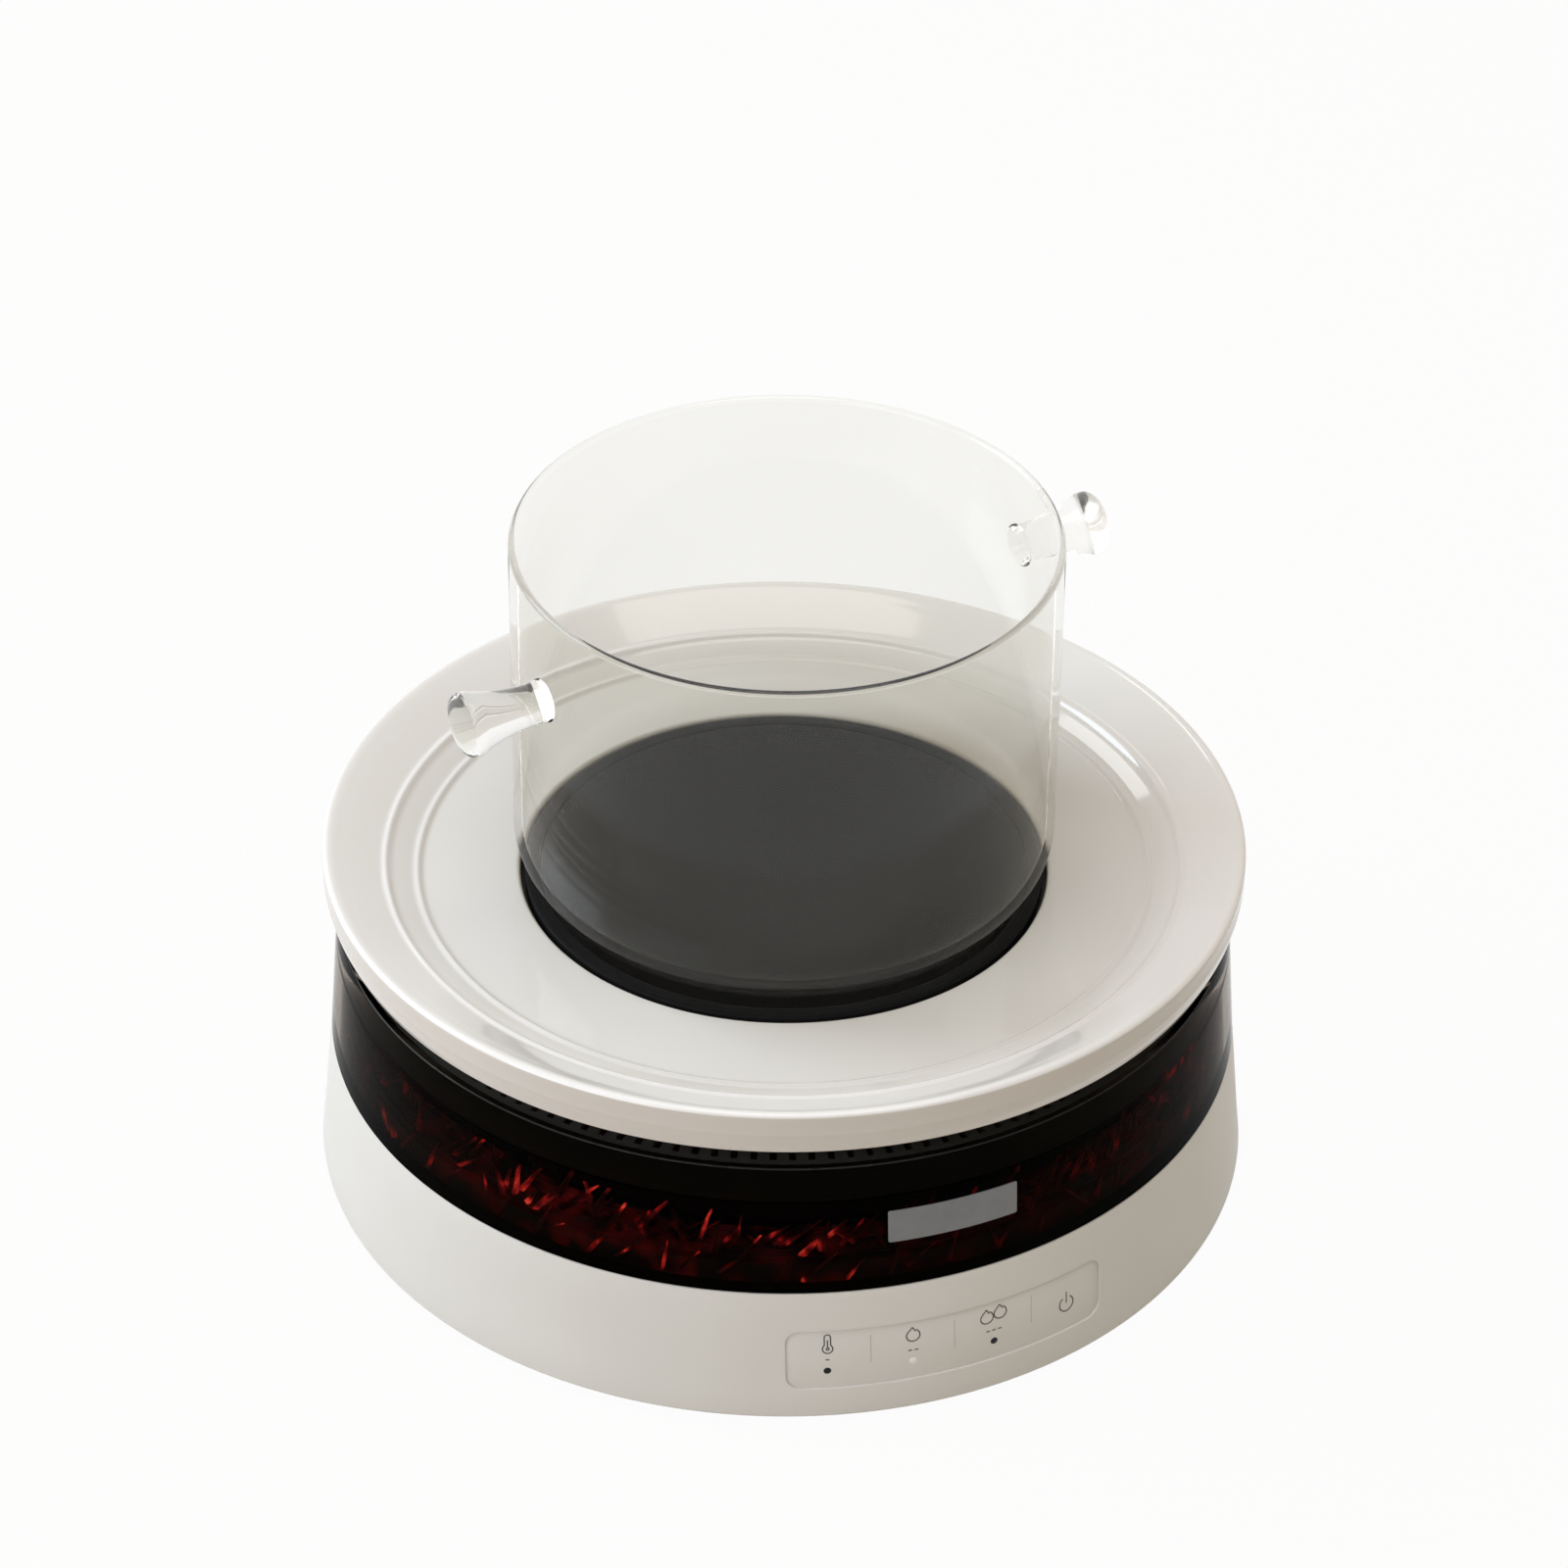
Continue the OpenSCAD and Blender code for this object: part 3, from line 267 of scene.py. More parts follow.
@dataclass(frozen=True)
class GlowFinish(Finish):
    """A finish that glows in streaks, brighter in some parts of the ring than in others; on the
    embers the glow is painted light.

    Attributes:
        power: Strength of the glow.
        glow_tone: Stops of the glow's colour, as a position and a colour.
        glow_parts: Stops of the glow's strength round the ring, as a share of the turn and a
            strength.
    """

    power: float = 1.0
    glow_tone: tuple[tuple[float, Colour], ...] = ()
    glow_parts: tuple[Point, ...] = ((0.0, 1.0), (1.0, 1.0))

    def colours(self, tree: Tree, spot: Socket, pattern: Socket) -> Inputs:
        """Adds the glow to the plain colours.

        Args:
            tree: Node tree of the material.
            spot: Place on the object.
            pattern: Pattern from 0 to 1.

        Returns:
            Inputs of the shader.
        """
        plain = super().colours(tree, spot, pattern)
        round_axis = add_node(
            tree, "TexGradient", {"Vector": spot}, "Fac", gradient_type="RADIAL"
        )
        parts = [(share, (glow_tone, glow_tone, glow_tone)) for share, glow_tone in self.glow_parts]
        both = {
            "Factor": 1.0,
            "A": ramp(tree, pattern, self.glow_tone),
            "B": ramp(tree, round_axis, parts),
        }
        glow = add_node(tree, "Mix", both, "Result", data_type="RGBA", blend_type="MULTIPLY")
        return {**plain, "Emission Color": glow, "Emission Strength": self.power}


@dataclass(frozen=True)
class InnerShadeGlazeFinish(Finish):
    """A white glaze, whiter on the outer part of a turned piece, with a darker inner part that is
    painted shade of the pot over the floor.

    Attributes:
        outer: Colour of the outer part, where no painted shade lies.
        ring: Radii between which one colour turns into the other.
    """

    outer: Colour = (1.0, 1.0, 1.0)
    ring: Point = (0.0, 1.0)

    def colours(self, tree: Tree, spot: Socket, pattern: Socket) -> Inputs:
        """Mixes the outer colour in by the distance from the axis, so that the painted shade stays
        on the inner part.

        Args:
            tree: Node tree of the material.
            spot: Place on the object.
            pattern: Pattern from 0 to 1.

        Returns:
            Inputs of the shader.
        """
        inner = super().colours(tree, spot, pattern)["Base Color"]
        flat = add_node(tree, "Mapping", {"Vector": spot, "Scale": (1, 1, 0)})
        radius = add_node(tree, "VectorMath", {0: flat}, "Value", operation="LENGTH")
        low, high = self.ring
        limits = {"Value": radius, "From Min": low * MM, "From Max": high * MM}
        share = add_node(tree, "MapRange", limits, interpolation_type="SMOOTHSTEP")
        both = {"Factor": share, "A": inner, "B": (*self.outer, 1)}
        return {"Base Color": add_node(tree, "Mix", both, "Result", data_type="RGBA")}


SHELL = Finish(
    "satin_shell", "white_shell", (0.835, 0.83, 0.815), (0.815, 0.808, 0.79), (0.36, 0.46),
    grain_mm=34, relief=0.12, relief_mm=0.45, depth_mm=0.02,
)
# The tray's floor keeps a darker colour inside the ring radii: painted shade round the pot.
GLAZE = InnerShadeGlazeFinish(
    "ring_tray_glaze", "white_glaze", (0.8, 0.793, 0.775), (0.785, 0.776, 0.755), (0.05, 0.11),
    grain_mm=45, relief=0.05, relief_mm=7.0, depth_mm=0.06, coat=0.5,
    outer=(0.935, 0.935, 0.938), ring=(124, 142),
)
# Darker beige glaze on the lip's outer side: painted shade and warm bounced light on faces that
# turn away from the lamps.
SHADED_SIDE_GLAZE = Finish(
    "ring_tray_side_painted_shade", "white_glaze", (0.75, 0.705, 0.665), (0.735, 0.69, 0.648),
    (0.08, 0.15), grain_mm=45, relief=0.05, relief_mm=7.0, depth_mm=0.06, coat=0.3,
)
GLASS = Finish(
    "pot_glass", "clear_glass", (0.94, 0.938, 0.91), (0.925, 0.92, 0.89), (0.0, 0.01),
    grain_mm=60, relief=0.0, clear=1.0, ior=1.003, coat=0.45,
)
GLASS_FLOOR = replace(GLASS, name="pot_floor_glass", coat=0.1)
GLASS_RIM = replace(
    GLASS, name="pot_rim_glass", colour=(0.97, 0.966, 0.945), shade=(0.955, 0.95, 0.93),
    grain_mm=40, ior=1.25, coat=0.5,
)
HANDLE_GLASS = replace(
    GLASS_RIM, name="handle_glass", colour=(0.97, 0.965, 0.95), grain_mm=15, ior=1.18, coat=0.6
)
SMOKE = Finish(
    "smoked_band_clear", "smoked_clear", (0.235, 0.2, 0.168), (0.222, 0.188, 0.157), (0.0, 0.01),
    grain_mm=30, relief=0.0, clear=1.0, ior=1.045, gloss=0.3,
)
SMOKE_EDGE = Finish(
    "smoked_band_edge", "smoked_clear", (0.016, 0.016, 0.0145), (0.012, 0.012, 0.011),
    (0.22, 0.34), grain_mm=18, relief=0.0, gloss=0.2,
)
VENT_BLACK = Finish(
    "vent_black", "black_plastic", (0.042, 0.0415, 0.038), (0.05, 0.0495, 0.0455), (0.45, 0.6),
    grain_mm=6, relief=0.3, relief_mm=0.5, depth_mm=0.04, gloss=0.15,
)
# Painted light: how strongly the ember chips and bed glow at each share of the ring.
PAINTED_GLOW_PARTS = (
    (0.0, 0.08), (0.045, 0.25), (0.075, 0.85), (0.12, 1.0), (0.19, 0.85), (0.235, 0.42),
    (0.275, 0.14), (0.31, 0.1), (0.35, 0.24), (0.43, 0.12), (0.52, 0.9), (0.6, 0.8),
    (0.68, 0.35), (0.77, 0.9), (0.85, 0.6), (0.92, 0.1), (1.0, 0.08),
)
# Painted light: the ember chips are no lamps, and their red glow is painted on as emission.
EMBER = GlowFinish(
    "ember_chips", "ember_red", (0.03, 0.006, 0.004), (0.3, 0.03, 0.01), (0.4, 0.7),
    grain_mm=9, relief=0.4, relief_mm=1.2, depth_mm=0.3, power=3.2, glow_parts=PAINTED_GLOW_PARTS,
    glow_tone=(
        (0.5, (0.0, 0.0, 0.0)),
        (0.58, (0.06, 0.002, 0.003)),
        (0.65, (0.42, 0.018, 0.016)),
        (0.73, (1.0, 0.11, 0.06)),
        (0.85, (1.0, 0.4, 0.18)),
    ),
)
# Painted light: a faint red glow painted on the bed's floor as emission.
BED = GlowFinish(
    "ember_bed_floor", "ember_red", (0.012, 0.004, 0.003), (0.05, 0.008, 0.005), (0.4, 0.6),
    grain_mm=11, relief=0.4, relief_mm=2.5, depth_mm=0.5, power=0.2, glow_parts=PAINTED_GLOW_PARTS,
    glow_tone=((0.46, (0.0, 0.0, 0.0)), (0.76, (0.8, 0.03, 0.03))),
)
HOB_GLASS = Finish(
    "hob_black_glass_top", "hob_black_glass", (0.004, 0.0035, 0.003), (0.006, 0.0055, 0.005),
    (0.05, 0.12), grain=Grain.CELL, grain_mm=1.2, relief=0.0, gloss=0.03,
)
# Near-black ring: its own dark grey, darkened further as painted shade from the pot and tray over
# it.
HOB_RING = Finish(
    "hob_ring_satin", "hob_ring_grey", (0.012, 0.012, 0.0123), (0.009, 0.009, 0.0093),
    (0.3, 0.45), grain=Grain.TURNED, grain_mm=0.8, relief=0.15, relief_mm=0.4, depth_mm=0.02,
    gloss=0.03,
)
PLATE = Finish(
    "nameplate_foil", "grey_foil", (0.205, 0.205, 0.21), (0.18, 0.18, 0.185), (0.42, 0.55),
    grain_mm=7, relief=0.08, relief_mm=0.5, depth_mm=0.01, metal=0.35,
)
PRINT = Finish(
    "printed_grey", "lens_clear", (0.055, 0.051, 0.048), (0.075, 0.07, 0.066), (0.5, 0.6),
    grain_mm=2,
)
# Pale grey of the dividers: painted shade that stands in for the shallow grooves between the keys.
GROOVE_SHADE_PRINT = replace(
    PRINT, name="painted_groove_shade", colour=(0.63, 0.612, 0.588), shade=(0.665, 0.645, 0.62)
)
DARK_LENS = Finish(
    "dark_lens", "lens_clear", (0.004, 0.004, 0.004), (0.007, 0.007, 0.007), (0.12, 0.2),
    grain_mm=2, gloss=0.2,
)
LIT_LENS = GlowFinish(
    "lit_lens", "lens_clear", (0.8, 0.79, 0.76), (0.85, 0.84, 0.82), (0.15, 0.25),
    grain_mm=2, power=0.12, glow_tone=((0.0, (1.0, 0.95, 0.86)), (1.0, (1.0, 0.97, 0.92))),
)
RUBBER = Finish(
    "soft_rubber_grey", "soft_rubber", (0.05, 0.05, 0.05), (0.07, 0.07, 0.068), (0.7, 0.85),
    grain_mm=5, relief=0.3, relief_mm=0.4,
)
INLET = Finish(
    "inlet_black", "black_plastic", (0.018, 0.018, 0.018), (0.026, 0.026, 0.026), (0.35, 0.5),
    grain_mm=8, relief=0.25, relief_mm=0.4, depth_mm=0.03,
)
PIN = Finish(
    "plated_pin", "screw_steel", (0.62, 0.6, 0.55), (0.55, 0.53, 0.48), (0.22, 0.34),
    grain_mm=4, relief=0.05, metal=1.0,
)
SCREW = Finish(
    "zinc_screw", "screw_steel", (0.55, 0.55, 0.54), (0.42, 0.42, 0.41), (0.28, 0.45),
    grain_mm=3, relief=0.15, metal=1.0,
)
SHEET = Finish(
    "zinc_sheet", "sheet_steel", (0.55, 0.56, 0.57), (0.44, 0.45, 0.46), (0.3, 0.48),
    grain=Grain.CELL, grain_mm=9, relief=0.05, metal=1.0,
)
DRUM = Finish(
    "dark_drum", "dark_steel", (0.004, 0.004, 0.004), (0.008, 0.0075, 0.007), (0.55, 0.75),
    grain_mm=14, relief=0.2, gloss=0.15,
)
FAN = Finish(
    "fan_moulding", "fan_plastic", (0.03, 0.03, 0.033), (0.045, 0.045, 0.048), (0.45, 0.6),
    grain_mm=9, relief=0.15,
)
BOARD = Finish(
    "green_board", "circuit_board", (0.012, 0.11, 0.045), (0.05, 0.24, 0.1), (0.28, 0.42),
    grain=Grain.TRACKS, grain_mm=6,
)
INSULATION = Finish(
    "insulation_fibre", "insulation_board", (0.72, 0.67, 0.55), (0.6, 0.55, 0.44), (0.85, 0.95),
    grain_mm=5, relief=0.6, relief_mm=0.8, depth_mm=0.3,
)
RIBBON = Finish(
    "oxidised_ribbon", "heating_alloy", (0.16, 0.1, 0.085), (0.28, 0.17, 0.12), (0.45, 0.65),
    grain_mm=6, metal=1.0,
)
CERAMIC = Finish(
    "terminal_ceramic", "white_ceramic", (0.8, 0.78, 0.71), (0.72, 0.69, 0.62), (0.5, 0.65),
    grain_mm=5,
)
COPPER = Finish(
    "copper_turns", "copper_winding", (0.62, 0.3, 0.13), (0.32, 0.13, 0.05), (0.25, 0.4),
    grain=Grain.WOUND, grain_mm=0.7, metal=1.0,
)
RELAY = Finish(
    "relay_case", "relay_blue", (0.03, 0.1, 0.38), (0.04, 0.12, 0.43), (0.25, 0.4), grain_mm=6
)
SLEEVE = Finish(
    "capacitor_wrap", "capacitor_sleeve", (0.02, 0.03, 0.05), (0.03, 0.04, 0.065), (0.2, 0.35),
    grain_mm=6,
)
SINK = Finish(
    "sink_extrusion", "sink_aluminium", (0.72, 0.72, 0.73), (0.6, 0.6, 0.61), (0.3, 0.45),
    grain=Grain.WOUND, grain_mm=1.0, metal=1.0,
)
LEAD = Finish(
    "lead_braid", "lead_sleeve", (0.55, 0.53, 0.49), (0.4, 0.38, 0.35), (0.6, 0.75),
    grain=Grain.CELL, grain_mm=0.8,
)
LAMP = GlowFinish(
    "amber_lamp", "lamp_amber", (0.8, 0.4, 0.08), (0.85, 0.5, 0.12), (0.2, 0.3),
    grain_mm=2, power=2.0, glow_tone=((0.0, (1.0, 0.4, 0.08)), (1.0, (1.0, 0.5, 0.12))),
)


def arc(x: float, y: float, r: float, first: float, last: float, steps: int) -> list[Point]:
    """Points of an arc round a middle, from its first to its last angle in degrees."""
    angles = [math.radians(first + (last - first) * i / steps) for i in range(steps + 1)]
    return [(x + r * math.cos(a), y + r * math.sin(a)) for a in angles]


def only(obj: Piece) -> None:
    """Makes one object the only selected and active one.

    Args:
        obj: The object.
    """
    bpy.ops.object.select_all(action="DESELECT")
    obj.select_set(True)
    bpy.context.view_layer.objects.active = obj


def remove(obj: Piece) -> None:
    """Deletes an object."""
    only(obj)
    bpy.ops.object.delete()


def edit(obj: Piece) -> None:
    """Opens an object for editing with all of it selected.

    Args:
        obj: The object.
    """
    only(obj)
    bpy.ops.object.mode_set(mode="EDIT")
    bpy.ops.mesh.select_all(action="SELECT")


def done() -> None:
    """Leaves edit mode."""
    bpy.ops.object.mode_set(mode="OBJECT")


def start(name: str, primitive: Callable[..., Any], **sizes: Any) -> Piece:
    """Adds a primitive to shape, with nothing else selected.

    Args:
        name: Name of the object.
        primitive: Operator that adds it.
        **sizes: Its sizes in metres, and its place.

    Returns:
        The object.
    """
    bpy.ops.object.select_all(action="DESELECT")
    primitive(**sizes)
    bpy.context.object.name = name
    return bpy.context.object


def close(obj: Piece) -> Piece:
    """Merges doubled points and turns all faces outwards.

    Args:
        obj: A mesh.

    Returns:
        The same mesh.
    """
    edit(obj)
    bpy.ops.mesh.remove_doubles(threshold=MERGE_M)
    bpy.ops.mesh.select_all(action="SELECT")
    bpy.ops.mesh.normals_make_consistent(inside=False)
    done()
    return obj


def draw(name: str, points: Sequence[Vector]) -> Piece:
    """Draws a path by pulling one point from place to place.

    Args:
        name: Name of the object.
        points: Places in metres.

    Returns:
        The path as a mesh of edges.
    """
    obj = start(name, bpy.ops.mesh.primitive_plane_add, size=MM, location=(0, 0, 0))
    edit(obj)
    bpy.ops.mesh.merge(type="CENTER")
    bpy.ops.transform.translate(value=points[0])
    for a, b in zip(points, points[1:]):
        bpy.ops.mesh.extrude_vertices_move(TRANSFORM_OT_translate={"value": tuple(b - a)})
    done()
    return obj


def turn(name: str, section: Sequence[Point], steps: int) -> Piece:
    """Turns a section about the Z axis.

    Args:
        name: Name of the object.
        section: Radius and height of each point; a closed section repeats its first point.
        steps: Number of steps round the axis.

    Returns:
        The turned solid.
    """
    obj = draw(name, [Vector((r * MM, 0, z * MM)) for r, z in section])
    edit(obj)
    bpy.ops.mesh.spin(steps=steps, angle=2 * math.pi, center=(0, 0, 0), axis=(0, 0, 1))
    done()
    return close(obj)


def prism(name: str, size: Point, corner: float, at: Point, y: Point) -> Piece:
    """Makes a block with rounded corners along Y.

    Args:
        name: Name of the object.
        size: Width along X and height along Z.
        corner: Corner radius.
        at: Middle along X and Z.
        y: First and last place along Y.

    Returns:
        The block.
    """
    upright = (math.pi / 2, 0, 0)
    obj = start(name, bpy.ops.mesh.primitive_plane_add, size=MM, rotation=upright)
    bpy.ops.object.transform_apply(location=True, rotation=True, scale=True)
    edit(obj)
    bpy.ops.transform.resize(value=(size[0], 1, size[1]), center_override=(0, 0, 0))
    bpy.ops.mesh.bevel(
        offset=corner * MM, segments=8, affect="VERTICES", offset_type="OFFSET"
    )
    bpy.ops.mesh.select_all(action="SELECT")
    bpy.ops.transform.translate(value=(at[0] * MM, y[0] * MM, at[1] * MM))
    bpy.ops.mesh.extrude_region_move(
        TRANSFORM_OT_translate={"value": (0, (y[1] - y[0]) * MM, 0)}
    )
    done()
    return close(obj)


def combine(obj: Piece, tool: Piece, how: Join) -> None:
    """Combines a solid with a tool solid, and removes the tool.

    Args:
        obj: Solid that is changed.
        tool: Solid that changes it.
        how: Kind of combination.
    """
    only(obj)
    modifier = obj.modifiers.new("combine", "BOOLEAN")
    modifier.operation = how.value
    modifier.solver = "EXACT"
    modifier.object = tool
    bpy.ops.object.modifier_apply(modifier=modifier.name)
    remove(tool)


def soften(obj: Piece, width: float, segments: int = 3, angle: float = 40) -> None:
    """Rounds the sharp edges of a solid.

    Args:
        obj: Solid that is changed.
        width: Width of the rounding.
        segments: Number of steps across the rounding.
        angle: Least angle of an edge that is rounded, in degrees.
    """
    only(obj)
    modifier = obj.modifiers.new("soften", "BEVEL")
    modifier.width = width * MM
    modifier.segments = segments
    modifier.limit_method = "ANGLE"
    modifier.angle_limit = math.radians(angle)
    bpy.ops.object.modifier_apply(modifier=modifier.name)


def smooth(obj: Piece, angle: float = 34) -> None:
    """Shades a piece smooth except along its sharp edges."""
    only(obj)
    bpy.ops.object.shade_smooth_by_angle(angle=math.radians(angle))


def wire(name: str, points: Sequence[Vector], radius: float) -> Piece:
    """Makes a thin round line along a path.

    Args:
        name: Name of the object.
        points: Places in metres.
        radius: Radius of the line.

    Returns:
        The line as a mesh.
    """
    only(draw(name, points))
    bpy.ops.object.convert(target="CURVE")
    curve = bpy.context.object.data
    curve.bevel_depth = radius * MM
    curve.bevel_resolution = 1
    curve.use_fill_caps = True
    bpy.ops.object.convert(target="MESH")
    return close(bpy.context.object)


def join(name: str, parts: Sequence[Piece]) -> Piece:
    """Joins several meshes into one piece.

    Args:
        name: Name of the piece.
        parts: Meshes to join.

    Returns:
        The piece.
    """
    only(parts[0])
    for part in parts:
        part.select_set(True)
    bpy.ops.object.join()
    bpy.context.object.name = name
    return bpy.context.object


def place(obj: Piece, matrix: Matrix) -> None:
    """Moves a mesh to its place and leaves its object at the origin.

    Args:
        obj: Object of the mesh.
        matrix: The place.
    """
    obj.matrix_world = matrix
    only(obj)
    bpy.ops.object.transform_apply(location=True, rotation=True, scale=True)


def copy(obj: Piece) -> Piece:
    """Copies an object with a mesh of its own.

    Args:
        obj: The object.

    Returns:
        The copy.
    """
    only(obj)
    bpy.ops.object.duplicate()
    return bpy.context.object


def copies(name: str, first: Piece, places: Sequence[Matrix]) -> Piece:
    """Copies a piece to several places and joins the copies.

    Args:
        name: Name of the joined piece.
        first: Piece that is copied, and then removed.
        places: Place of each copy.

    Returns:
        The copies as one piece.
    """
    made = [copy(first) for _ in places]
    for obj, matrix in zip(made, places):
        place(obj, matrix)
    remove(first)
    return join(name, made)


def dress(obj: Piece, finish: Finish) -> None:
    """Gives an object one finish."""
    obj.data.materials.clear()
    obj.data.materials.append(finish.make())


def dress_part(obj: Piece, finish: Finish, chosen: Callable[..., bool]) -> None:
    """Gives some faces of a piece another finish.

    Args:
        obj: The piece.
        finish: Finish of those faces.
        chosen: Test of a face's radius, its height and how far its normal points outwards.
    """
    obj.data.materials.append(finish.make())
    for face in obj.data.polygons:
        r = math.hypot(face.center.x, face.center.y)
        outwards = face.normal.xy.dot(face.center.xy) / r
        if chosen(r / MM, face.center.z / MM, outwards):
            face.material_index = len(obj.data.materials) - 1


def hand_over(obj: Piece, finish: Finish, *solids: str, body: Body = Body.BASE) -> None:
    """Finishes a piece: its material, its body and the solids that it stands for.

    Args:
        obj: The piece.
        finish: Its finish.
        *solids: Names of the solids that it replaces.
        body: Body that it rides on.
    """
    dress(obj, finish)
    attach(obj, body.value)
    if solids:
        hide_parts(*solids)
    log.info("%s: %d faces, %s", obj.name, len(obj.data.polygons), finish.name)


@dataclass
class Shell:
    """Flared wall that the housing and the band share.

    Attributes:
        z_edge: Height of the lower edge.
        z_waist: Height where the band starts.
        z_band: Height of the band's upper edge.
        base_r: Radius at the lower edge.
        waist_r: Radius where the band starts.
        top_r: Radius at the band's upper edge.
        steps: Number of steps round the axis.
    """

    z_edge: float = 4.0
    z_waist: float = 53.5
    z_band: float = 103.0
    base_r: float = 161.79
    waist_r: float = 157.1
    top_r: float = 153.6
    steps: int = 360

    def radius(self, z: float) -> float:
        """Outer radius at a height.

        Args:
            z: Height.

        Returns:
            The radius.
        """
        low, high, z_low, z_high = self.base_r, self.waist_r, self.z_edge, self.z_waist
        if z >= self.z_waist:
            low, high, z_low, z_high = self.waist_r, self.top_r, self.z_waist, self.z_band
        return low + (high - low) * ((z - z_low) / (z_high - z_low))

    def plate(
        self, name: str, size: Point, corner: float, z: float, depth: Point
    ) -> Piece:
        """Makes a curved plate with rounded corners out of the front of the wall.

        Args:
            name: Name of the object.
            size: Width and height.
            corner: Corner radius.
            z: Height of its middle.
            depth: Outer and inner depth below the surface.

        Returns:
            The plate.
        """
        spare = 2
        half = size[1] / 2 + spare
        low, high = z - half, z + half
        outer, inner = depth
        corners = [(low, inner), (low, outer), (high, outer), (high, inner), (low, inner)]
        ring = turn(name, [(self.radius(h) - d, h) for h, d in corners], self.steps)
        front = (-self.base_r - 5 * spare, -self.waist_r / 2)
        combine(ring, prism("outline", size, corner, (0, z), front), Join.KEEP)
        return ring

    def on_surface(self, across: float, z: float, depth: float) -> Vector:
        """Place in metres at a distance along the wall from the front's middle and at a depth."""
        r, angle = self.radius(z) - depth, across / self.radius(z)
        return Vector((r * math.sin(angle), -r * math.cos(angle), z)) * MM


FLAME = (
    (-0.1, 1.05), (0.14, 0.72), (0.3, 0.42), (0.44, 0.66), (0.66, 0.44), (0.84, 0.1),
    (0.88, -0.28), (0.72, -0.66), (0.4, -0.92), (0.0, -1.0), (-0.4, -0.92), (-0.72, -0.66),
    (-0.88, -0.28), (-0.82, 0.12), (-0.58, 0.48), (-0.32, 0.76), (-0.1, 1.05),
)


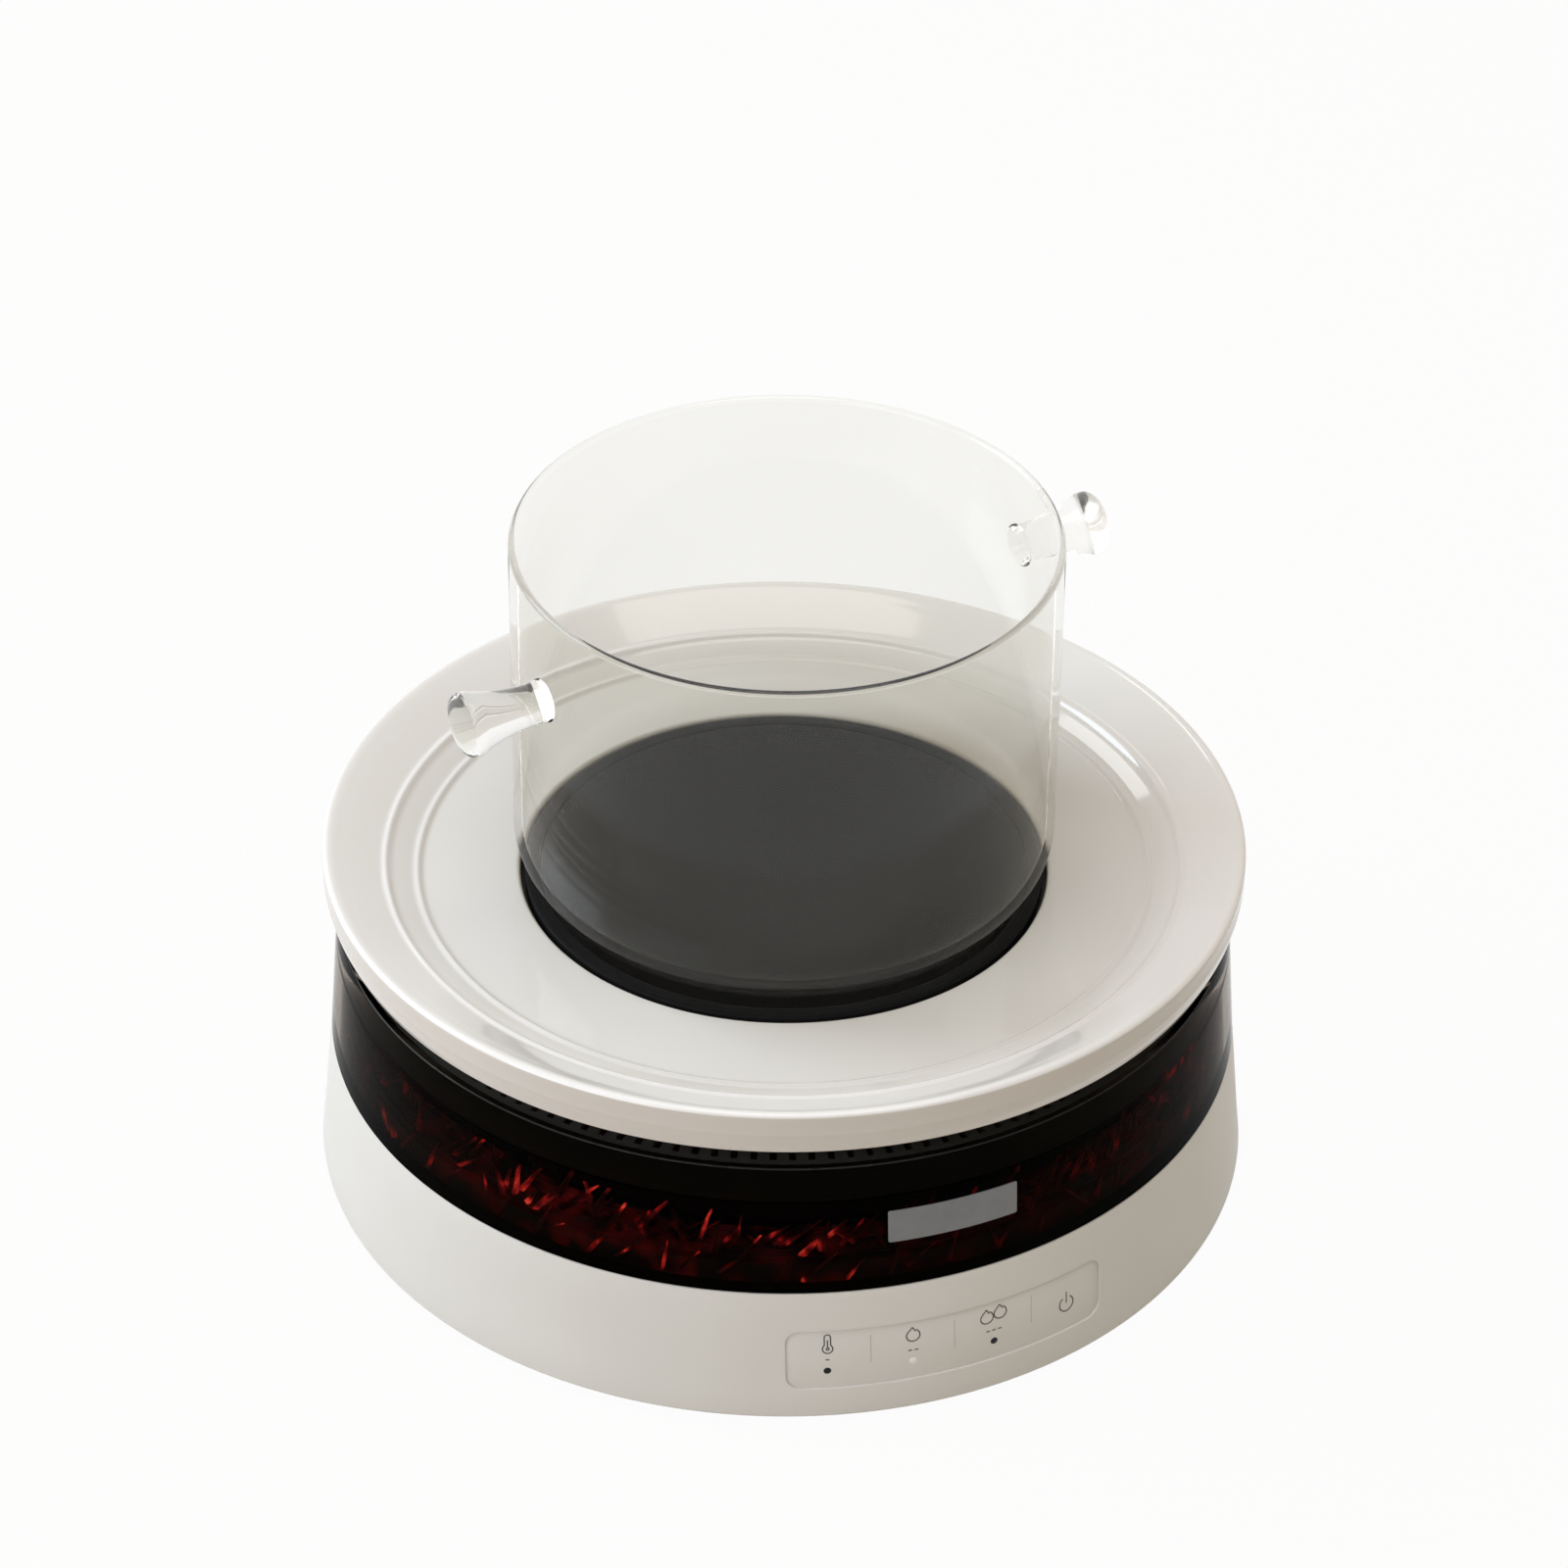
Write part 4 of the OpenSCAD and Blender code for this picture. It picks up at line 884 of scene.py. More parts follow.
@dataclass
class ControlPanel:
    """Sunken control fascia with its printed symbols, dividers and lamps.

    Attributes:
        shell: Wall that the panel is set into.
        z: Height of the panel's middle.
        size: Width and height.
        corner: Corner radius.
        recess: Depth of the face below the wall.
        thickness: Thickness of the fascia.
        key_step: Angle from key to key in degrees.
        icon_z: Height of the first three symbols.
        flame_r: Half of a flame's height.
        power_z: Height of the power symbol.
        pip_z: Height of the level marks.
        pip_step: Distance from one level mark to the next.
        pip_l: Half of a level mark's length.
        line_z: Height of the dividers' middle.
        line_l: Half of a divider's length.
        lamp_z: Height of the lamps.
        lamp_r: Radius of a lamp.
        stroke: Radius of a printed stroke.
    """

    shell: Shell
    z: float = 27.0
    size: Point = (113.0, 23.0)
    corner: float = 5.0
    recess: float = 0.8
    thickness: float = 2.0
    key_step: float = 10.46
    icon_z: float = 32.7
    flame_r: float = 2.7
    power_z: float = 26.0
    pip_z: float = 26.5
    pip_step: float = 2.2
    pip_l: float = 0.65
    line_z: float = 29.5
    line_l: float = 5.4
    lamp_z: float = 22.0
    lamp_r: float = 1.4
    stroke: float = 0.27

    def key_across(self, key: float, z: float) -> float:
        """Distance along the wall of a key from the panel's middle."""
        return math.radians((key - 1.5) * self.key_step) * self.shell.radius(z)

    def block(self, name: str, extra: float, depth: Point) -> Piece:
        """Makes a piece of the wall in the panel's outline, grown by some extra width."""
        size = (self.size[0] + 2 * extra, self.size[1] + 2 * extra)
        return self.shell.plate(name, size, self.corner + extra, self.z, depth)

    def print_and_shade_line(self, key: float, z: float, points: Sequence[Point]) -> Piece:
        """Draws one stroke on the fascia: print for the symbols, painted shade for the dividers.

        Args:
            key: Key that the stroke belongs to, which may lie between two keys.
            z: Height of the stroke's middle.
            points: Places across and up from there.

        Returns:
            The stroke.
        """
        depth, middle = self.recess + 0.4 * self.stroke, self.key_across(key, z)
        places = [self.shell.on_surface(middle + u, z + v, depth) for u, v in points]
        return wire("stroke", places, self.stroke)

    def flame(self, u: float, v: float) -> list[Point]:
        """Closed outline of a small flame round a place across and up."""
        return [(u + x * self.flame_r, v + y * self.flame_r) for x, y in FLAME]

    def symbols(self) -> Piece:
        """Prints the four symbols and the level marks.

        Returns:
            All strokes as one piece.
        """
        bulb = arc(0, -1.9, 1.75, 128, 412, 20)
        tube = arc(0, 2.7, 1.05, 0, 180, 8)
        strokes = [
            (0, self.icon_z, bulb + tube + bulb[:1]),
            (0, self.icon_z, [(0, 1.6), (0, -1.4)]),
            (0, self.icon_z, arc(0, -1.9, 0.5, 90, 450, 10)),
            (1, self.icon_z, self.flame(0, 0)),
            (2, self.icon_z, self.flame(-2.5, -0.2)),
            (2, self.icon_z, self.flame(2.5, 0.5)),
            (3, self.power_z, arc(0, -0.5, 2.9, 122, 418, 28)),
            (3, self.power_z, [(0, 4.2), (0, -0.2)]),
        ]
        for key in range(3):
            for i in range(key + 1):
                u = (i - key / 2) * self.pip_step
                strokes.append((key, self.pip_z, [(u - self.pip_l, 0), (u + self.pip_l, 0)]))
        return join("panel_symbols", [self.print_and_shade_line(*stroke) for stroke in strokes])

    def dividers(self) -> Piece:
        """Draws the faint upright lines between the keys as one piece, in a pale grey that is
        painted shade of the grooves there.
        """
        line = [(0, -self.line_l), (0, self.line_l)]
        return join(
            "panel_dividers", [self.print_and_shade_line(key + 0.5, self.line_z, line) for key in range(3)]
        )

    def lens(self, key: int) -> Piece:
        """Makes one indicator lens, a flat button with a rounded edge.

        Args:
            key: Key that the lens belongs to.

        Returns:
            The lens.
        """
        r, edge, back, crown = self.lamp_r, 0.35, -1.2, 0.16
        section = [(0, back), (r, back), *arc(r - edge, 0.1 - edge, edge, 0, 80, 4), (0, crown)]
        lens = turn(f"indicator_lens_{key + 1}", section, 32)
        across = self.key_across(key, self.lamp_z)
        angle = across / self.shell.radius(self.lamp_z)
        facing = Matrix.Rotation(angle, 4, "Z") @ Matrix.Rotation(math.pi / 2, 4, "X")
        at = self.shell.on_surface(across, self.lamp_z, self.recess)
        place(lens, Matrix.Translation(at) @ facing)
        return lens

    def build(self) -> None:
        """Models and dresses the panel."""
        depth = (self.recess, self.recess + self.thickness)
        fascia = self.block("control_fascia_face", 0.0, depth)
        soften(fascia, 0.25, 2)
        smooth(fascia)
        hand_over(fascia, SHELL, "control_fascia")
        hand_over(self.symbols(), PRINT)
        hand_over(self.dividers(), GROOVE_SHADE_PRINT)
        lenses = ((DARK_LENS, ["indicator_lenses"]), (LIT_LENS, []), (DARK_LENS, []))
        for key, (finish, solids) in enumerate(lenses):
            lens = self.lens(key)
            smooth(lens)
            hand_over(lens, finish, *solids)


@dataclass
class MainsInlet:
    """Three-pin inlet in the housing's rear wall.

    Attributes:
        z: Height of its middle.
        seat_y: Place of the flange's back.
        flange: Width and height of the flange.
        flange_t: Thickness of the flange.
        corner: Corner radius of the flange.
        gap: Clearance of the flange in the housing, both sides together.
        gap_corner: Corner radius of its recess in the housing.
        body: Width and height of the body behind the flange.
        body_corner: Corner radius of that body.
        body_l: Depth of the inlet behind its face.
        socket: Width and height of the socket.
        chamfer: Size of the socket's two cut corners.
        depth: Depth of the socket.
        pin_step: Distance from pin to pin.
        pin_rise: Height of the middle pin above the inlet's middle, and of the others below it.
        pin: Thickness and width of a pin.
        pin_l: Length of a pin.
        pin_corner: Corner radius of a pin.
        pin_tip: Rounding of a pin's tip.
    """

    z: float = 27.0
    seat_y: float = 153.44
    flange: Point = (50.0, 25.0)
    flange_t: float = 2.5
    corner: float = 3.0
    gap: float = 0.2
    gap_corner: float = 0.6
    body: Point = (27.6, 20.0)
    body_corner: float = 1.5
    body_l: float = 22.0
    socket: Point = (24.4, 16.8)
    chamfer: float = 4.0
    depth: float = 17.0
    pin_step: float = 7.0
    pin_rise: float = 2.0
    pin: Point = (2.0, 4.0)
    pin_l: float = 14.0
    pin_corner: float = 0.3
    pin_tip: float = 0.25

    @property
    def face_y(self) -> float:
        """Place of the flange's outer face."""
        return self.seat_y + self.flange_t

    def recess(self, reach: float) -> Piece:
        """Makes the block that is cut from the housing for the flange.

        Args:
            reach: Outermost place along Y.

        Returns:
            The block.
        """
        size = (self.flange[0] + self.gap, self.flange[1] + self.gap)
        y = (self.seat_y - self.body_l, reach)
        return prism("inlet_recess", size, self.gap_corner, (0, self.z), y)

    def plug_space(self) -> Piece:
        """Makes the block that is cut from the inlet for the plug.

        Returns:
            The block with two cut corners.
        """
        w, h, c, spare = self.socket[0] / 2, self.socket[1] / 2, self.chamfer, 2
        outline = [(-w, -h), (w, -h), (w, h - c), (w - c, h), (c - w, h), (-w, h - c), (-w, -h)]
        path = [Vector((x, self.face_y + spare, self.z + v)) * MM for x, v in outline]
        block = draw("plug_space", path)
        edit(block)
        bpy.ops.mesh.remove_doubles(threshold=MERGE_M)
        bpy.ops.mesh.edge_face_add()
        bpy.ops.mesh.extrude_region_move(
            TRANSFORM_OT_translate={"value": (0, -(self.depth + spare) * MM, 0)}
        )
        done()
        return close(block)

    def pins(self) -> Piece:
        """Makes the three pins with rounded tips.

        Returns:
            The pins as one piece.
        """
        back = self.face_y - self.depth
        pins = []
        for i in (-1, 0, 1):
            at = (i * self.pin_step, self.z + (self.pin_rise if i == 0 else -self.pin_rise))
            pin = prism("pin", self.pin, self.pin_corner, at, (back, back + self.pin_l))
            soften(pin, self.pin_tip, angle=50)
            pins.append(pin)
        return join("inlet_pin_set", pins)

    def build(self) -> None:
        """Models and dresses the inlet."""
        at = (0, self.z)
        front, overlap = (self.seat_y, self.face_y), 0.5
        block = prism("mains_inlet_block", self.flange, self.corner, at, front)
        rear = (self.face_y - self.body_l, self.seat_y + overlap)
        combine(block, prism("inlet_rear", self.body, self.body_corner, at, rear), Join.ADD)
        combine(block, self.plug_space(), Join.CUT)
        soften(block, 0.4)
        smooth(block)
        hand_over(block, INLET, "mains_inlet")
        pins = self.pins()
        smooth(pins)
        hand_over(pins, PIN, "inlet_pins")


@dataclass
class Housing:
    """Low white housing with its feet.

    Attributes:
        shell: Wall of the housing.
        inlet: Inlet in its rear.
        panel: Control panel in its front.
        wall: Thickness of the wall.
        edge_r: Rounding of the lower edge.
        top_r: Rounding of the upper edge.
        recess_r: Rounding of the edges of the recesses.
        panel_gap: Clearance of the panel in its recess.
        shelf_t: Thickness of the shelf on top.
        shelf_r: Inner radius of the shelf.
        foot_r: Radius of a foot.
        foot_h: Height of a foot.
        foot_ring: Distance of a foot from the axis.
        sole: Radius and height of the ribs under a foot.
    """

    shell: Shell
    inlet: MainsInlet
    panel: ControlPanel
    wall: float = 3.0
    edge_r: float = 1.6
    top_r: float = 0.5
    recess_r: float = 0.55
    panel_gap: float = 0.02
    shelf_t: float = 3.0
    shelf_r: float = 116.5
    foot_r: float = 10.0
    foot_h: float = 6.0
    foot_ring: float = 130.0
    sole: tuple[Point, ...] = (
        (0, 0.5), (2.2, 0.5), (2.5, 0.0), (4.2, 0.0), (4.5, 0.5), (5.7, 0.5), (6.0, 0.0)
    )

    def moulding(self) -> Piece:
        """Models the wall and shelf in one moulding, with the panel's and the inlet's recesses.

        Returns:
            The housing.
        """
        s, e, f, inset = self.shell, self.edge_r, self.top_r, 0.4
        z_shelf = s.z_waist - self.shelf_t
        section = [
            (s.base_r - self.wall, s.z_edge + inset),
            (s.base_r - self.wall + inset, s.z_edge),
            *arc(s.base_r - e, s.z_edge + e, e, -90, 0, 8),
            *[(s.radius(z), z) for z in (15, 27, 40)],
            *arc(s.waist_r - f, s.z_waist - f, f, 5, 90, 4),
            (self.shelf_r, s.z_waist),
            (self.shelf_r, z_shelf),
            (s.radius(z_shelf) - self.wall, z_shelf),
            (s.base_r - self.wall, s.z_edge + inset),
        ]
        body = turn("housing_moulding", section, s.steps)
        through = (-4, self.panel.recess + self.panel.thickness + 0.1)
        combine(body, self.panel.block("panel_recess", self.panel_gap, through), Join.CUT)
        combine(body, self.inlet.recess(s.base_r + 5), Join.CUT)
        soften(body, self.recess_r, angle=50)
        smooth(body, 30)
        return body

    def feet(self) -> Piece:
        """Models one rubber foot with a ribbed sole and copies it.

        Returns:
            The four feet as one piece.
        """
        edge, h = self.foot_r - 2.5, self.foot_h
        section = [*self.sole, *arc(edge, 1.0, 1.0, -90, -8, 6), (self.foot_r, h), (0, h)]
        angles = [math.radians(45 + 90 * i) for i in range(4)]
        rays = [Vector((math.cos(angle), math.sin(angle), 0)) for angle in angles]
        places = [Matrix.Translation(ray * self.foot_ring * MM) for ray in rays]
        return copies("rubber_feet", turn("foot", section, 48), places)

    def build(self) -> None:
        """Models and dresses the housing, its panel, its inlet and its feet."""
        body = self.moulding()
        hand_over(body, SHELL, "lower_housing")
        # The shelf's top inside the band gets the dark drum finish: painted shade for the dark
        # inside of the band.
        z_top, r_top = self.shell.z_waist - 0.1, self.shell.waist_r - 0.55
        dress_part(body, DRUM, lambda r, z, outwards: z > z_top and r < r_top)
        self.panel.build()
        self.inlet.build()
        feet = self.feet()
        smooth(feet)
        hand_over(feet, RUBBER, "feet")


@dataclass
class EmberBand:
    """Smoked see-through band with its blank plate and the ember bed behind it.

    Attributes:
        shell: Wall of the band.
        wall: Thickness of the band.
        gap: Gap under the band.
        edge_r: Rounding of the upper outer edge.
        inner_r: Rounding of the upper inner edge.
        foot_r: Chamfer of the lower edge.
        z_skirt: Height of the inner rib's top.
        rib_r: Inner radius of the rib.
        rib_h: Height of the rib.
        plate_size: Width and height of the blank plate.
        plate_corner: Corner radius of the plate.
        plate_depth: Outer and inner depth of the plate below the band's surface.
        plate_z: Height of its middle.
        bed_r: Inner and outer radius of the ember bed.
        bed_h: Height of the bed's floor above the shelf.
        bed_t: Thickness of the bed's walls.
        bed_waves: Height of the crests and hollows of the bed's floor.
        bed_rough: Greatest shift of a point of that floor.
        chip_count: Number of ember chips on the bed.
        rim_count: Number of ember chips that lean on the bed's outer wall.
        chip_l: Shortest and longest chip.
        chip_r: Radius of a chip at its thick end and at its tip.
        chip_model: Length of a chip before it is stretched.
        lean: Least and greatest lean of a chip from the upright in degrees.
        headings: Directions that the chips lean in, in degrees from the bed's radius.
    """

    shell: Shell
    wall: float = 3.0
    gap: float = 0.12
    edge_r: float = 0.7
    inner_r: float = 0.5
    foot_r: float = 0.35
    z_skirt: float = 87.2
    rib_r: float = 147.4
    rib_h: float = 2.5
    plate_size: Point = (45.6, 12.4)
    plate_corner: float = 0.8
    plate_depth: Point = (-0.5, -0.04)
    plate_z: float = 78.0
    bed_r: Point = (132.0, 150.8)
    bed_h: float = 8.0
    bed_t: float = 1.5
    bed_waves: Point = (0.9, -0.6)
    bed_rough: float = 0.9
    chip_count: int = 280
    rim_count: int = 80
    chip_l: Point = (8.0, 17.0)
    chip_r: Point = (1.25, 0.4)
    chip_model: float = 10.0
    lean: Point = (8, 62)
    headings: tuple[int, ...] = (80, 88, 92, 96, 100, 265)

    def band(self) -> Piece:
        """Turns the band with its rounded edges and its inner rib.

        Returns:
            The band.
        """
        s, e, f = self.shell, self.edge_r, self.inner_r
        z_low, z_rib = s.z_waist + self.gap, self.z_skirt - self.rib_h
        inner = [(s.radius(z) - self.wall, z) for z in (z_low, z_rib, self.z_skirt, s.z_band)]
        section = [
            inner[0],
            (s.waist_r - self.foot_r, z_low),
            (s.waist_r, z_low + self.foot_r),
            *[(s.radius(z), z) for z in (68, 81, 94)],
            *arc(s.top_r - e, s.z_band - e, e, 4, 90, 6),
            *arc(inner[3][0] + f, s.z_band - f, f, 90, 180, 4),
            inner[2],
            (self.rib_r, self.z_skirt),
            (self.rib_r, z_rib),
            *inner[1::-1],
        ]
        band = turn("smoked_band_ring", section, 288)
        smooth(band, 30)
        return band

    def plate(self) -> Piece:
        """Models the blank plate, bent to the band.

        Returns:
            The plate.
        """
        size, corner, depth = self.plate_size, self.plate_corner, self.plate_depth
        plate = self.shell.plate("blank_plate", size, corner, self.plate_z, depth)
        soften(plate, 0.15, 2)
        smooth(plate)
        return plate

    def bed(self) -> Piece:
        """Turns the channel that carries the chips, with a rough floor.

        Returns:
            The channel.
        """
        (low, high), (crest, dip), t, steps = self.bed_r, self.bed_waves, self.bed_t, 9
        z0, z1 = self.shell.z_waist, self.shell.z_waist + self.bed_h
        floor = [
            (high - (high - low) * i / steps, z1 + (crest if i % 2 else dip))
            for i in range(1, steps)
        ]
        hollow = [(low + t, z0), (low + t, z1 - 2), (high - t, z1 - 2), (high - t, z0)]
        section = [*hollow, (high, z0), (high, z1), *floor, (low, z1), (low, z0), hollow[0]]
        bed = turn("ember_channel", section, 144)
        edit(bed)
        bpy.ops.mesh.select_all(action="DESELECT")
        done()
        for vertex in bed.data.vertices:
            r = math.hypot(vertex.co.x, vertex.co.y) / MM
            vertex.select = vertex.co.z > (z1 - 1) * MM and low + 0.5 < r < high - 0.5
        bpy.ops.object.mode_set(mode="EDIT")
        bpy.ops.transform.vertex_random(offset=self.bed_rough * MM, seed=4)
        done()
        return bed

    def chip(self, seed: int) -> Piece:
        """Models one upright splinter with broken faces.

        Args:
            seed: Seed of its shape.

        Returns:
            The splinter at the origin.
        """
        thick, tip = self.chip_r
        chip = start(
            "chip", bpy.ops.mesh.primitive_cone_add,
            vertices=5, radius1=thick * MM, radius2=tip * MM, depth=self.chip_model * MM,
        )
        edit(chip)
        for height, normal in ((-1.5, (0.3, 0.2, 1.0)), (1.8, (-0.2, 0.3, 1.0))):
            bpy.ops.mesh.bisect(plane_co=(0, 0, height * MM), plane_no=normal, use_fill=False)
            bpy.ops.mesh.select_all(action="SELECT")
        bpy.ops.transform.vertex_random(offset=tip * MM, seed=seed)
        bpy.ops.mesh.normals_make_consistent(inside=False)
        done()
        return chip

    def chips(self) -> Piece:
        """Strews copies of a few splinters over the bed.

        Returns:
            All splinters as one piece.
        """
        rng = random.Random(7)
        kinds = [self.chip(seed) for seed in (1, 2, 3, 5)]
        low, high = self.bed_r[0] + 6, self.bed_r[1] - 3
        shelf, floor = self.shell.z_waist, self.shell.z_waist + self.bed_h
        made = []
        for i in range(self.chip_count + self.rim_count):
            made.append(copy(kinds[i % len(kinds)]))
            length = rng.uniform(*self.chip_l)
            lean = math.radians(rng.uniform(*self.lean))
            heading = rng.choice(self.headings)
            if i < self.chip_count:
                heading += rng.uniform(-20, 20)
                share = (i + rng.uniform(-0.4, 0.4)) / self.chip_count
                r, base = rng.uniform(low, high), floor + rng.choice((0.0, 0.8, 3.0))
                thick = rng.uniform(0.7, 1.25)
            else:
                heading = 90 if heading < 180 else 270
                share = (i + rng.uniform(-0.45, 0.45)) / self.rim_count
                thick = rng.uniform(0.6, 0.85)
                r = self.bed_r[1] + 0.75 * thick * self.chip_r[0]
                base = shelf + rng.uniform(1.2, 4.0)
            middle = base + 0.5 * length * math.cos(lean)
            made[-1].matrix_world = (
                Matrix.Rotation(2 * math.pi * share, 4, "Z")
                @ Matrix.Translation(Vector((r, 0, middle)) * MM)
                @ Matrix.Rotation(math.radians(heading), 4, "Z")
                @ Matrix.Rotation(lean, 4, "Y")
                @ Matrix.Diagonal((thick, thick, length / self.chip_model, 1))
            )
        for kind in kinds:
            remove(kind)
        chips = join("ember_splinters", made)
        place(chips, chips.matrix_world.copy())
        return chips

    def build(self) -> None:
        """Models and dresses the band, its plate and its embers."""
        band = self.band()
        hand_over(band, SMOKE, "smoked_band")
        z_top, r_top = self.shell.z_band - 0.3, self.shell.top_r - 0.65
        dress_part(band, SMOKE_EDGE, lambda r, z, outwards: z > z_top and r > r_top)
        hand_over(self.plate(), PLATE, "nameplate")
        # The bed and the chips carry a painted glow.
        hand_over(self.bed(), BED, "ember_bed")
        hand_over(self.chips(), EMBER)


@dataclass
class Hob:
    """Black glass hob with its trim ring.

    Attributes:
        r: Outer radius of the ring.
        ring_w: Width of the ring.
        edge_r: Rounding of the ring's outer edge.
        inner_r: Rounding of its inner edge and of the glass.
        gap: Gap between the ring and the glass.
        z_deck: Height of the deck that carries the ring.
        z_ring: Height of the ring's top.
        z_glass: Lower and upper height of the glass.
    """

    r: float = 89.0
    ring_w: float = 5.3
    edge_r: float = 1.2
    inner_r: float = 0.4
    gap: float = 0.1
    z_deck: float = 110.6
    z_ring: float = 115.6
    z_glass: Point = (111.2, 115.2)

    def build(self) -> None:
        """Models and dresses the ring and the glass."""
        inner, e, f = self.r - self.ring_w, self.edge_r, self.inner_r
        section = [
            (inner, self.z_deck),
            (self.r, self.z_deck),
            *arc(self.r - e, self.z_ring - e, e, 0, 90, 6),
            *arc(inner + f, self.z_ring - f, f, 90, 180, 4),
            (inner, self.z_deck),
        ]
        ring = turn("hob_ring", section, 192)
        smooth(ring)
        hand_over(ring, HOB_RING, "hob_trim_ring")
        glass_r = inner - self.gap
        low, high = self.z_glass
        section = [(0, low), (glass_r, low), *arc(glass_r - f, high - f, f, 0, 90, 4)]
        section += [(glass_r * share, high) for share in (0.75, 0.5, 0.25, 0)]
        glass = turn("hob_glass_top", section, 192)
        smooth(glass)
        hand_over(glass, HOB_GLASS, "hob_glass")


@dataclass
class RingTray:
    """White glazed tray in the shape of a ring.

    Attributes:
        hole_r: Radius of the hole.
        well_r: Radius where the floor ends.
        flange_r: Radius where the flange starts.
        r: Outer radius.
        t: Thickness.
        z: Height of the underside.
        z_flange: Height of the flange's inner edge.
        z_top: Height of the lip's top.
        z_lip: Height of the lip's lower edge.
        edge_r: Rounding of the lip's upper edge.
        low_r: Rounding of the lip's lower edge.
        draw: Slant of the lip's side.
        soft: Half width over which the bends are softened.
        bead: Height of the two ridges.
        bead_w: Half width of a ridge.
        groove: Depth of the groove at the lip.
        groove_w: Half width of the groove.
        groove_in: Distance of the groove from the lip's crest.
        side_steps: Places down the lip's side, as a share of its height and of its slant.
    """

    hole_r: float = 90.3
    well_r: float = 125.5
    flange_r: float = 136.3
    r: float = 158.0
    t: float = 3.4
    z: float = 111.9
    z_flange: float = 119.0
    z_top: float = 128.3
    z_lip: float = 111.1
    edge_r: float = 1.6
    low_r: float = 1.2
    draw: float = 2.5
    soft: float = 1.3
    bead: float = 0.9
    bead_w: float = 1.35
    groove: float = 0.08
    groove_w: float = 0.9
    groove_in: float = 3.2
    side_steps: tuple[Point, ...] = (
        (0.15, 0.03), (0.42, 0.1), (0.46, 0.06), (0.5, 0.13), (0.62, 0.2), (0.76, 0.38), (0.9, 0.7)
    )

    @property
    def crest_r(self) -> float:
        """Radius at which the flange reaches the lip's top."""
        return self.r - self.edge_r - 0.8

    def plain_height(self, x: float) -> float:
        """Height of the upper side with sharp bends.

        Args:
            x: Radius.

        Returns:
            The height.
        """
        z_floor = self.z + self.t
        slope = min(max((x - self.well_r) / (self.flange_r - self.well_r), 0), 1)
        flange = min(max((x - self.flange_r) / (self.crest_r - self.flange_r), 0), 1)
        rise = (self.z_flange - z_floor) * slope
        return z_floor + rise + (self.z_top - self.z_flange) * flange

    def height(self, x: float) -> float:
        """Height of the upper side with soft bends, two ridges and a faint groove at the lip.

        Args:
            x: Radius.

        Returns:
            The height.
        """
        z = sum(self.plain_height(x + self.soft * i / 4) for i in range(-4, 5)) / 9
        for middle in (self.well_r, self.flange_r):
            z += self.bead * math.exp(-(((x - middle) / self.bead_w) ** 2))
        place_in = (x - self.crest_r + self.groove_in) / self.groove_w
        return z - self.groove * math.exp(-(place_in**2))

    def upper_side(self) -> list[Point]:
        """Section of the upper side from the hole to the lip, finer at the ridges.

        Returns:
            The points.
        """
        inner = self.hole_r + self.t / 2
        radii = [inner + (self.crest_r - inner) * i / 40 for i in range(41)]
        for middle in (self.well_r, self.flange_r):
            radii = [x for x in radii if abs(x - middle) > 3.4]
            radii += [middle + 0.2 * i for i in range(-16, 17)]
        return [(x, self.height(x)) for x in sorted(radii)]

    def build(self) -> None:
        """Models and dresses the tray."""
        t, e = self.t, self.edge_r
        tilt = math.atan((self.z_top - self.z_flange) / (self.crest_r - self.flange_r))
        z_high, z_low = self.z_top - e, self.z_lip + self.low_r
        side = [
            (self.r - self.draw * slant, z_high + (z_low - z_high) * share)
            for share, slant in self.side_steps
        ]
        section = [
            *arc(self.hole_r + t / 2, self.z + t / 2, t / 2, 270, 95, 10),
            *self.upper_side(),
            *arc(self.r - e, self.z_top - e, e, 90, 0, 8),
            *side,
            *arc(self.r - self.draw - self.low_r, z_low, self.low_r, -6, -170, 8),
            (self.r - t, self.z_top - (t - e) * math.tan(tilt) - t / math.cos(tilt)),
            (self.flange_r + 1.2, self.z_flange - t),
            (self.well_r + 1.2, self.z),
            (self.hole_r + t / 2, self.z),
        ]
        tray = turn("ring_tray_glazed", section, 256)
        smooth(tray)
        hand_over(tray, GLAZE, "ring_tray", body=Body.TRAY)
        # The lip's outer side gets the painted-shade glaze.
        z_side, r_side = self.z_top - 0.7 * e, self.r - self.draw - 1
        dress_part(
            tray, SHADED_SIDE_GLAZE, lambda r, z, outwards: z < z_side and r > r_side and outwards > 0.3
        )


